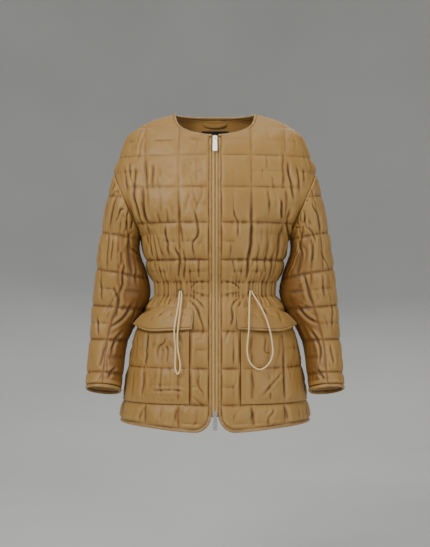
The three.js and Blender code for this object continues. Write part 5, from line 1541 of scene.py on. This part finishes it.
def make_drawcord(word):
    """A round braided cord, hanging free in a loop from the two sides of its eyelet."""
    route = np.array(CORD_ROUTES[word])
    base = face_point("front", route[:, 0], route[:, 1])[0]
    path = smooth_curve(base - route[:, 2:] * [0, 1, 0], CORD_STEP)
    first, second = carried_frames(path)
    angle = np.arange(CORD_AROUND) / CORD_AROUND * 2 * math.pi
    run = np.arange(len(path))[:, None] * CORD_STEP
    twist = 2 * math.pi * run / BRAID_PITCH_MM
    half = BRAID_STRANDS / 4
    left, right = np.sin(half * (angle - twist)), np.sin(half * (angle + twist))
    strand = np.abs(np.where(np.sin(BRAID_STRANDS / 4 * (angle + twist)) > 0, left, right))
    radius = CORD_DIAMETER / 2 - BRAID_DEPTH + BRAID_DEPTH * strand
    ring = first[:, None] * np.cos(angle)[:, None] + second[:, None] * np.sin(angle)[:, None]
    points = (path[:, None] + ring * radius[..., None]).reshape(-1, 3)
    faces = grid_faces(len(path), CORD_AROUND, ring=True)
    faces += [list(range(CORD_AROUND))[::-1], list(range(len(points) - CORD_AROUND, len(points)))]
    piece = new_piece(f"braided_cord_{word}", points, outside_out(points, faces), finish("cord"),
                      {"strand": strand.ravel()})
    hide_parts(f"drawcord_{word}")
    return piece


# Zip

TAPE_SECTION = [(7.0, -2.0), (6.2, -0.9), (5.2, -0.3), (3.4, 0.05), (2.3, 0.25), (1.1, 0.25), (0.3, 0.0)]
TAPE_THICK = 0.9
TOOTH_PITCH, TOOTH_HALF_WIDTH = 1.6, 2.4


def make_tape_side(side, word):
    """One woven tape of the zip, from the front edge to the teeth."""
    heights = np.linspace(ZIP_TOP, ZIP_BOTTOM, 212)
    section_x = np.array([x for x, _ in TAPE_SECTION])
    section_lift = np.array([lift for _, lift in TAPE_SECTION])
    x, z = np.meshgrid(section_x, heights)
    wave = 0.25 * np.sin(z / 11 + side) * np.sin(z / 37)
    over = face_point("front", side * x, z, section_lift + wave)[0]
    under = face_point("front", side * x, z, section_lift + wave - TAPE_THICK)[0]
    grid = np.concatenate([over, under[:, ::-1]], 1)
    size = grid.shape[1]
    points = grid.reshape(-1, 3)
    faces = grid_faces(len(heights), size, ring=True)
    faces += [list(range(size))[::-1], list(range(len(points) - size, len(points)))]
    piece = new_piece(f"woven_tape_{word}", points, outside_out(points, faces), finish("tape"))
    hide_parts(f"zip_tape_{word}")
    return piece


def box_parts(centres, across, along, out, half):
    """Points and faces of small rounded blocks: half sizes across, along and out at each centre."""
    corners = np.array([(-1, -0.6, -1), (-1, 0.6, -1), (1, 0.6, -1), (1, -0.6, -1),
                        (-0.85, -1, 0.4), (-0.85, 1, 0.4), (0.85, 1, 0.4), (0.85, -1, 0.4),
                        (-0.6, -0.5, 1), (-0.6, 0.5, 1), (0.6, 0.5, 1), (0.6, -0.5, 1)])
    block = [(3, 2, 1, 0), (8, 9, 10, 11)]
    for low in (0, 4):
        block += [(low + k, low + (k + 1) % 4, low + 4 + (k + 1) % 4, low + 4 + k) for k in range(4)]
    points = (centres[:, None] + (corners[:, 0] * half[0])[:, None] * across[:, None]
              + (corners[:, 1] * half[1])[:, None] * along[:, None] + (corners[:, 2] * half[2])[:, None] * out[:, None])
    faces = [[12 * n + k for k in face] for n in range(len(centres)) for face in block]
    return points.reshape(-1, 3), faces


def make_teeth():
    """Coil teeth of the closed zip, one turn after another from alternate sides."""
    heights = np.arange(ZIP_TOP - 1, ZIP_BOTTOM + 2, -TOOTH_PITCH / 2)
    side = np.where(np.arange(len(heights)) % 2, 1.0, -1.0)
    base, normal = face_point("front", side * 0.75, heights, 1.0)
    across = np.tile([1.0, 0, 0], (len(heights), 1))
    along = unit(np.cross(normal, across))
    points, faces = box_parts(base, across, along, normal, (TOOTH_HALF_WIDTH / 2 + 0.5, TOOTH_PITCH * 0.23, 0.55))
    return new_piece("coil_teeth", points, outside_out(points, faces), finish("coil"), smooth=False)


# Label and hanger loop inside the back neck


def make_label_piece():
    """The plain woven label, following the inside of the back neck."""
    low, high = (Vector(corner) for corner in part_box("neck_label"))
    x = np.linspace(-LABEL["half_width"], LABEL["half_width"], 41)
    z = np.linspace(LABEL["top"], LABEL["bottom"], 19)
    x, z = np.meshgrid(x, z)
    bow = 0.35 * np.sin(x / 7.0) * np.sin(z / 5.0)
    behind = face_point("back", x, z)[1]
    start = face_point("back", x, z, -(WALL + SEAM_GAP + LABEL["thick"]))[0] - behind * bow[..., None]
    edge = np.clip(np.minimum(LABEL["half_width"] - np.abs(x), np.minimum(LABEL["top"] - z, z - LABEL["bottom"])), 0, 1)
    front = start + behind * (0.35 * (1 - edge))[..., None]
    rear = start + behind * LABEL["thick"] * 0.9
    count = front[..., 0].size
    points = np.concatenate([front.reshape(-1, 3), rear.reshape(-1, 3)])
    rows, columns = x.shape
    faces = grid_faces(rows, columns) + [face[::-1] for face in grid_faces(rows, columns, offset=count)]
    rim = [*range(columns), *range(2 * columns - 1, rows * columns, columns),
           *range(rows * columns - 2, (rows - 1) * columns - 1, -1), *range((rows - 2) * columns, 0, -columns)]
    faces += [(a, b, b + count, a + count) for a, b in zip(rim, rim[1:] + rim[:1])]
    piece = new_piece("plain_label", points, outside_out(points, faces), finish("label"))
    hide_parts("neck_label")
    return piece


def make_hanger_loop():
    """The hanger loop: a folded strip of the shell's cloth that sags between its two ends."""
    x = np.linspace(-LOOP["half_width"], LOOP["half_width"], 59)
    part = x / LOOP["half_width"]
    top = LOOP["top"] - LOOP["sag"] * (1 - part ** 2)
    depth = -(WALL + SEAM_GAP + LOOP["thick"] / 2 + LOOP["off"] * (1 - part ** 4))
    seam = face_point("back", x, top)[0] + np.array([0, 1, 0]) * depth[:, None]
    edge = face_point("back", x, top - LOOP["width"])[0] + np.array([0, 1, 0]) * depth[:, None]
    normal = np.tile([0.0, -1.0, 0.0], (len(x), 1))
    half = LOOP["thick"] / 2
    strip = [(0, -half * 0.6), (0, half * 0.6), (0.12, half), (0.5, half * 0.85), (0.88, half), (1, half * 0.6),
             (1, -half * 0.6), (0.88, -half), (0.12, -half)]
    piece = lofted("folded_loop", seam, edge, normal, "satin", "satin", section_points=strip, node="hanger_loop")
    return piece


# Stitches of sewing thread. Real thread is 0.3 mm thick, drawn at 0.6 mm so that it shows

STITCH_LENGTH, STITCH_PITCH = 3.2, 4.6
THREAD_HALF = 0.3
SPINDLE = np.array([(1, 2, 4), (2, 0, 4), (0, 3, 4), (3, 1, 4), (2, 1, 5), (0, 2, 5), (3, 0, 5), (1, 3, 5)])


def make_stitches(name, starts, ends, normals):
    """Stitches of thread that stand a little out of the cloth, each from a start to an end."""
    across = unit(np.cross(normals, ends - starts)) * THREAD_HALF
    up = normals * THREAD_HALF
    middle = (starts + ends) / 2 + up * 0.6
    points = np.stack([starts, ends, middle + across, middle - across, middle + up, middle - up], 1).reshape(-1, 3)
    faces = (SPINDLE[None] + 6 * np.arange(len(starts))[:, None, None]).reshape(-1, 3).tolist()
    return new_piece(name, points, faces, finish("thread"), smooth=False)


def stitched_runs(name, runs):
    """Stitches along lines of points with their normals."""
    starts, ends, normals = [], [], []
    for points, away in runs:
        line = evenly(np.concatenate([points, away], 1), STITCH_PITCH / 8)
        first = np.arange(0, len(line) - 6, 8)
        starts.append(line[first, :3])
        ends.append(line[first + 5, :3])
        normals.append(unit(line[first + 2, 3:]))
    return make_stitches(name, np.concatenate(starts), np.concatenate(ends), np.concatenate(normals))


def sampler(columns, rows, grid):
    """A function for the points of a finished surface between the columns and rows of its grid."""
    def at(c, r):
        j = np.clip(np.searchsorted(columns, c) - 1, 0, len(columns) - 2)
        i = np.clip(np.searchsorted(rows, r) - 1, 0, len(rows) - 2)
        s = ((c - columns[j]) / (columns[j + 1] - columns[j]))[..., None]
        t = ((r - rows[i]) / (rows[i + 1] - rows[i]))[..., None]
        near = grid[i, j] * (1 - s) + grid[i, j + 1] * s
        return near * (1 - t) + (grid[i + 1, j] * (1 - s) + grid[i + 1, j + 1] * s) * t
    return at


def quilting_lines(first, last, top, bottom, shift):
    """Every quilting seam of a range of squares, by its ends in squares across and rows down."""
    lines = []
    for row in range(top, bottom):
        for column in range(first, last):
            lines += [(column, row, column + 1, row), (column, row, column, row + 1)]
            for u0, v0, u1, v1 in MOTIFS[(2 * column + 3 * row + shift) % len(MOTIFS)]:
                lines.append((column + u0, row + v0, column + u1, row + v1))
    return lines


def quilting_stitches(name, lines, place):
    """Stitches along quilting seams; place gives a seam's points, normals and which of them are on the piece."""
    count = int(PITCH / STITCH_PITCH)
    ends = np.array(lines, float)
    number = np.arange(count) / count
    part = STITCH_LENGTH / STITCH_PITCH / count
    lengths = np.hypot(ends[:, 2] - ends[:, 0], ends[:, 3] - ends[:, 1])

    def along(share):
        t = number[None] + share
        return (ends[:, :1] * (1 - t) + ends[:, 2:3] * t).ravel(), (ends[:, 1:2] * (1 - t) + ends[:, 3:] * t).ravel()

    half = np.tile(np.arange(count) % 2 == 0, len(ends)) | np.repeat(lengths > 0.75, count)
    longer = np.where(np.repeat(lengths > 0.75, count), 1.0, 2.0)
    u0, v0 = along(0.0)
    u1, v1 = along(part)
    start, normal, here = place(u0, v0)
    end, _, also_here = place(u0 + (u1 - u0) * longer, v0 + (v1 - v0) * longer)
    kept = here & also_here & half
    return make_stitches(name, start[kept], end[kept], normal[kept])


def surface_normal(at, c, r, dc, dr, middle):
    """Outward normals of a finished surface."""
    across, down = at(c + dc, r) - at(c - dc, r), at(c, r + dr) - at(c, r - dr)
    return outward(across, down, at(c, r) - middle)


ROW_LIST = np.arange(len(ROWS))


def quilt_panel(name, face, side, columns, heights, outer):
    """Quilting stitches of a body panel or one half of it."""
    at = sampler(columns, -heights, outer)
    first, last = (1, 3.5) if side > 0 else (-3.5, -1)

    def place(u, v):
        z = np.where(v < 0, ROWS[0] - v * PITCH, np.interp(v, ROW_LIST, ROWS))
        column = side * u if face == "back" else u
        low = neck_height(face, u) - 4
        x = np.abs(base_point(face, 1, u, z)[..., 0])
        inside = (z < low) & (z > hem_height(face, x) + 4) & (u < armhole_squares(face, z) - 0.05)
        if face == "front":
            inside &= (x > EDGE_X + BINDING_WIDTH + 1) & (under_pocket(u, z) < 0.5)
        casing = (z < CASING_TOP - 1) & (z > CASING_LOW + 1)
        point = at(column, -z)
        middle = point * [0, 0, 1]
        return point, surface_normal(at, column, -z, 0.02, 1.5, middle), inside & ~casing

    lines = quilting_lines(0, 4, -1, len(ROWS) - 1, side + 2)
    return quilting_stitches(name, lines, place)


def quilt_sleeve(name, side, rows, angles, outer):
    """Quilting stitches of a sleeve."""
    closed = np.concatenate([outer, outer[:, :1]], 1)
    at = sampler(np.append(angles, 2 * math.pi), rows, closed)

    def place(u, v):
        around = np.where(v < 3, 6, 4)
        angle = np.clip(u / around * 2 * math.pi, 0.001, 2 * math.pi - 0.001)
        point = at(angle, v)
        middle = sleeve_frame(side, v)[0]
        inside = (v > 0.04) & (v < CUFF_ROW - 0.05) & (u < around)
        return point, surface_normal(at, angle, v, 0.01, 0.02, middle), inside

    lines = quilting_lines(0, 6, 0, 7, 1)
    return quilting_stitches(name, lines, place)


# Camera, light and stage

VIEW_DISTANCE, VIEW_HEIGHT = 2.8, -0.4
IMAGE_WIDTH, IMAGE_HEIGHT = 430, 547
METRES_PER_PIXEL = 0.00235
HORIZON_PIXEL = 285.0
SENSOR = 36.0


def make_camera():
    """Camera in front of the jacket, level, as far away as the photograph's."""
    data = bpy.data.cameras.new("view")
    data.sensor_width = SENSOR
    data.lens = SENSOR * VIEW_DISTANCE / (IMAGE_HEIGHT * METRES_PER_PIXEL)
    data.shift_y = (HORIZON_PIXEL - IMAGE_HEIGHT / 2) / IMAGE_HEIGHT
    data.clip_end = 60
    camera = bpy.data.objects.new("view", data)
    camera.location = (0, -VIEW_DISTANCE, VIEW_HEIGHT)
    camera.rotation_euler = (math.pi / 2, 0, 0)
    bpy.context.scene.collection.objects.link(camera)
    bpy.context.scene.camera = camera
    return camera


FLOOR_Z = -1.15
FLOOR_RADIUS, SWEEP_RADIUS, WALL_TOP = 2.0, 3.5, 6.0

# Lamps: place and target in metres, size in metres, power in watts
LAMPS = {
    "key": ((-1.9, -2.7, 1.5), (0, 0, -0.35), 1.6, 95),
    "fill": ((2.3, -2.5, 0.3), (0, 0, -0.4), 2.2, 42),
    "top": ((0.2, -0.4, 2.2), (0, 0, -0.3), 2.0, 30),
    "back": ((0.3, 2.8, 1.4), (0, 0, -0.4), 2.4, 40),
}


def turned_up(points, face):
    """A face of the floor in the order that makes its front point up or inwards."""
    a, b, c = (points[k] for k in face[:3])
    return face if np.dot(np.cross(b - a, c - a), (-a[0], -a[1], 1.0)) > 0 else face[::-1]


def make_stage():
    """Plain pale floor that sweeps up all round, and soft lamps."""
    turn = np.linspace(0, math.pi / 2, 13)
    profile = [(0.0, FLOOR_Z), (FLOOR_RADIUS, FLOOR_Z)]
    profile += [(FLOOR_RADIUS + SWEEP_RADIUS * math.sin(a), FLOOR_Z + SWEEP_RADIUS * (1 - math.cos(a)))
                for a in turn[1:]]
    profile.append((FLOOR_RADIUS + SWEEP_RADIUS, WALL_TOP))
    angle = np.arange(96) / 96 * 2 * math.pi
    rings = [[(r * math.cos(a), r * math.sin(a), z) for a in angle] for r, z in profile[1:]]
    points = np.concatenate([[(0, 0, FLOOR_Z)], *rings])
    faces = [(0, 1 + k, 1 + (k + 1) % 96) for k in range(96)]
    faces += [turned_up(points, face) for face in grid_faces(len(rings), 96, ring=True, offset=1)]
    mesh = bpy.data.meshes.new("floor")
    mesh.from_pydata(points.tolist(), [], faces)
    mesh.polygons.foreach_set("use_smooth", [True] * len(mesh.polygons))
    mesh.materials.append(finish("floor"))
    floor = bpy.data.objects.new("floor", mesh)
    scene = bpy.context.scene
    scene.collection.objects.link(floor)
    for name, (place, target, size, power) in LAMPS.items():
        data = bpy.data.lights.new(name, "AREA")
        data.size = size
        data.energy = power
        lamp = bpy.data.objects.new(name, data)
        lamp.location = place
        lamp.rotation_euler = (Vector(target) - Vector(place)).to_track_quat("-Z", "Y").to_euler()
        scene.collection.objects.link(lamp)
    world = bpy.data.worlds.new("studio")
    world.use_nodes = True
    world.node_tree.nodes["Background"].inputs["Color"].default_value = linear("#dddddb")
    world.node_tree.nodes["Background"].inputs["Strength"].default_value = 0.45
    scene.world = world
    return floor


# Add-on: properties, operators and panel


def colour_property(name, hex_colour, description):
    return bpy.props.FloatVectorProperty(
        name=name, description=description, subtype="COLOR", size=4, min=0, max=1, default=linear(hex_colour))


class JacketSizes(bpy.types.PropertyGroup):
    puff: bpy.props.FloatProperty(
        name="Puff", description="How far the padding lifts the cloth between the quilting seams",
        default=0.0062, min=0, max=0.02, unit="LENGTH")
    pressure: bpy.props.FloatProperty(
        name="Pressure", description="Pressure of the padding in the cloth simulation",
        default=1.2, min=0, max=20)
    crease: bpy.props.FloatProperty(
        name="Creases", description="Depth of the creases as a part of that shown",
        default=1.0, min=0, max=2, subtype="FACTOR")


class JacketColours(bpy.types.PropertyGroup):
    # Ridge is a painted highlight on the satin's ridges; shade and deep are painted shade in its troughs and deepest
    # creases
    ridge: colour_property("Ridge", "#b08e52", "Satin on the ridges, where it is pulled tight")
    cloth: colour_property("Cloth", "#a07c44", "Satin of the shell")
    shade: colour_property("Shade", "#7c5526", "Satin in the troughs")
    deep: colour_property("Deep", "#40260c", "Satin at the bottom of the deepest creases")
    lining: colour_property("Inside", "#a87e44", "Cloth inside the jacket")
    trim: colour_property("Binding", "#a5824a", "Satin of the bindings")
    trim_low: colour_property("Binding, dark", "#8f6c38", "Darker places of the bindings")
    tape: colour_property("Zip tape", "#c6a46c", "Raised threads of the zip's tape")
    tape_low: colour_property("Zip tape, dark", "#a6844c", "Sunken threads of the zip's tape")
    coil: colour_property("Zip teeth", "#b09258", "Teeth of the zip")
    thread: colour_property("Thread", "#b08c58", "Sewing thread")
    cord: colour_property("Cord", "#e6ca98", "Strands of the drawcords")
    # Painted shade in the gaps between the braid's strands
    cord_gap_shade: colour_property("Cord, dark", "#a8864e", "Gaps between the strands")
    floor: colour_property("Floor", "#c3c3c1", "Studio floor")
    floor_low: colour_property("Floor, dark", "#bdbdbb", "Darker places of the studio floor")


def sizes():
    return bpy.context.scene.jacket_sizes


class JACKET_OT_camera(bpy.types.Operator):
    """Place the camera at the photograph's viewing angle"""
    bl_idname = "jacket.camera"
    bl_label = "Camera"

    def execute(self, context):
        make_camera()
        return {"FINISHED"}


class JACKET_OT_cords(bpy.types.Operator):
    """Make the two loops of drawcord and finish their eyelets"""
    bl_idname = "jacket.cords"
    bl_label = "Drawcords"

    def execute(self, context):
        for word in SIDES:
            make_drawcord(word)
            finish_node(f"eyelet_{word}", "brass")
        return {"FINISHED"}


class JACKET_OT_fronts(bpy.types.Operator):
    """Make the two quilted fronts"""
    bl_idname = "jacket.fronts"
    bl_label = "Fronts"

    def execute(self, context):
        for word, side in SIDES.items():
            make_panel(f"front_{word}", "front", side, sizes(), FRONT_CREASES, 7 + side)
        return {"FINISHED"}


class JACKET_OT_back(bpy.types.Operator):
    """Make the quilted back"""
    bl_idname = "jacket.back"
    bl_label = "Back"

    def execute(self, context):
        make_panel("back", "back", 1, sizes(), BACK_CREASES, 13)
        return {"FINISHED"}


class JACKET_OT_sleeves(bpy.types.Operator):
    """Make the two quilted sleeves"""
    bl_idname = "jacket.sleeves"
    bl_label = "Sleeves"

    def execute(self, context):
        for word, side in SIDES.items():
            make_sleeve(f"sleeve_{word}", side, sizes())
        return {"FINISHED"}


class JACKET_OT_pockets(bpy.types.Operator):
    """Make the patch pockets, their flaps and the flaps' bindings"""
    bl_idname = "jacket.pockets"
    bl_label = "Pockets"

    def execute(self, context):
        runs = []
        for word, side in SIDES.items():
            make_pocket(f"pocket_{word}", side, sizes())
            make_flap(f"pocket_flap_{word}", side, sizes())
            runs += make_flap_binding(side, word)
        stitched_runs("flap_stitches", runs)
        return {"FINISHED"}


class JACKET_OT_bindings(bpy.types.Operator):
    """Make the bindings of the neck, fronts, hem and cuffs"""
    bl_idname = "jacket.bindings"
    bl_label = "Bindings"

    def execute(self, context):
        runs = make_neck_binding()
        for word, side in SIDES.items():
            runs += make_front_binding(side, word)
            start, end = CORNER_X + 1.2, side_x("front")
            runs += make_hem_binding(f"hem_binding_{word}", "front", HEM_FRONT, start, end, side)
            runs += make_cuff_binding(side, word)
        end = side_x("back")
        runs += make_hem_binding("hem_binding_back", "back", HEM_BACK, -end, end, 1)
        stitched_runs("binding_stitches", runs)
        return {"FINISHED"}


class JACKET_OT_zip(bpy.types.Operator):
    """Make the zip's tapes and teeth, and finish its sliders and pulls"""
    bl_idname = "jacket.zip"
    bl_label = "Zip"

    def execute(self, context):
        for word, side in SIDES.items():
            make_tape_side(side, word)
        make_teeth()
        for name in ("slider_top", "slider_bottom", "pull_top", "pull_bottom"):
            finish_node(name, "steel")
        return {"FINISHED"}


class JACKET_OT_neck(bpy.types.Operator):
    """Make the plain label and the hanger loop inside the back neck"""
    bl_idname = "jacket.neck"
    bl_label = "Label and Loop"

    def execute(self, context):
        make_label_piece()
        make_hanger_loop()
        return {"FINISHED"}


class JACKET_OT_stage(bpy.types.Operator):
    """Make the plain floor and the soft studio light"""
    bl_idname = "jacket.stage"
    bl_label = "Stage"

    def execute(self, context):
        make_stage()
        return {"FINISHED"}


OPERATORS = (
    JACKET_OT_camera, JACKET_OT_cords, JACKET_OT_fronts, JACKET_OT_back, JACKET_OT_sleeves, JACKET_OT_pockets,
    JACKET_OT_bindings, JACKET_OT_zip, JACKET_OT_neck, JACKET_OT_stage,
)


class JACKET_PT_panel(bpy.types.Panel):
    """Sizes, colours and operators of the jacket"""
    bl_label = "Jacket"
    bl_idname = "JACKET_PT_panel"
    bl_space_type = "VIEW_3D"
    bl_region_type = "UI"
    bl_category = "Jacket"

    def draw(self, context):
        for group in (context.scene.jacket_sizes, context.scene.jacket_colours):
            for name in group.bl_rna.properties.keys()[2:]:
                self.layout.prop(group, name)
        for operator in OPERATORS:
            self.layout.operator(operator.bl_idname)


CLASSES = (JacketSizes, JacketColours, *OPERATORS, JACKET_PT_panel)


def register():
    for each in CLASSES:
        bpy.utils.register_class(each)
    bpy.types.Scene.jacket_sizes = bpy.props.PointerProperty(type=JacketSizes)
    bpy.types.Scene.jacket_colours = bpy.props.PointerProperty(type=JacketColours)


def unregister():
    del bpy.types.Scene.jacket_colours
    del bpy.types.Scene.jacket_sizes
    for each in reversed(CLASSES):
        bpy.utils.unregister_class(each)


def main():
    register()
    for operator in OPERATORS:
        group, name = operator.bl_idname.split(".")
        getattr(getattr(bpy.ops, group), name)()


if __name__ == "__main__":
    main()
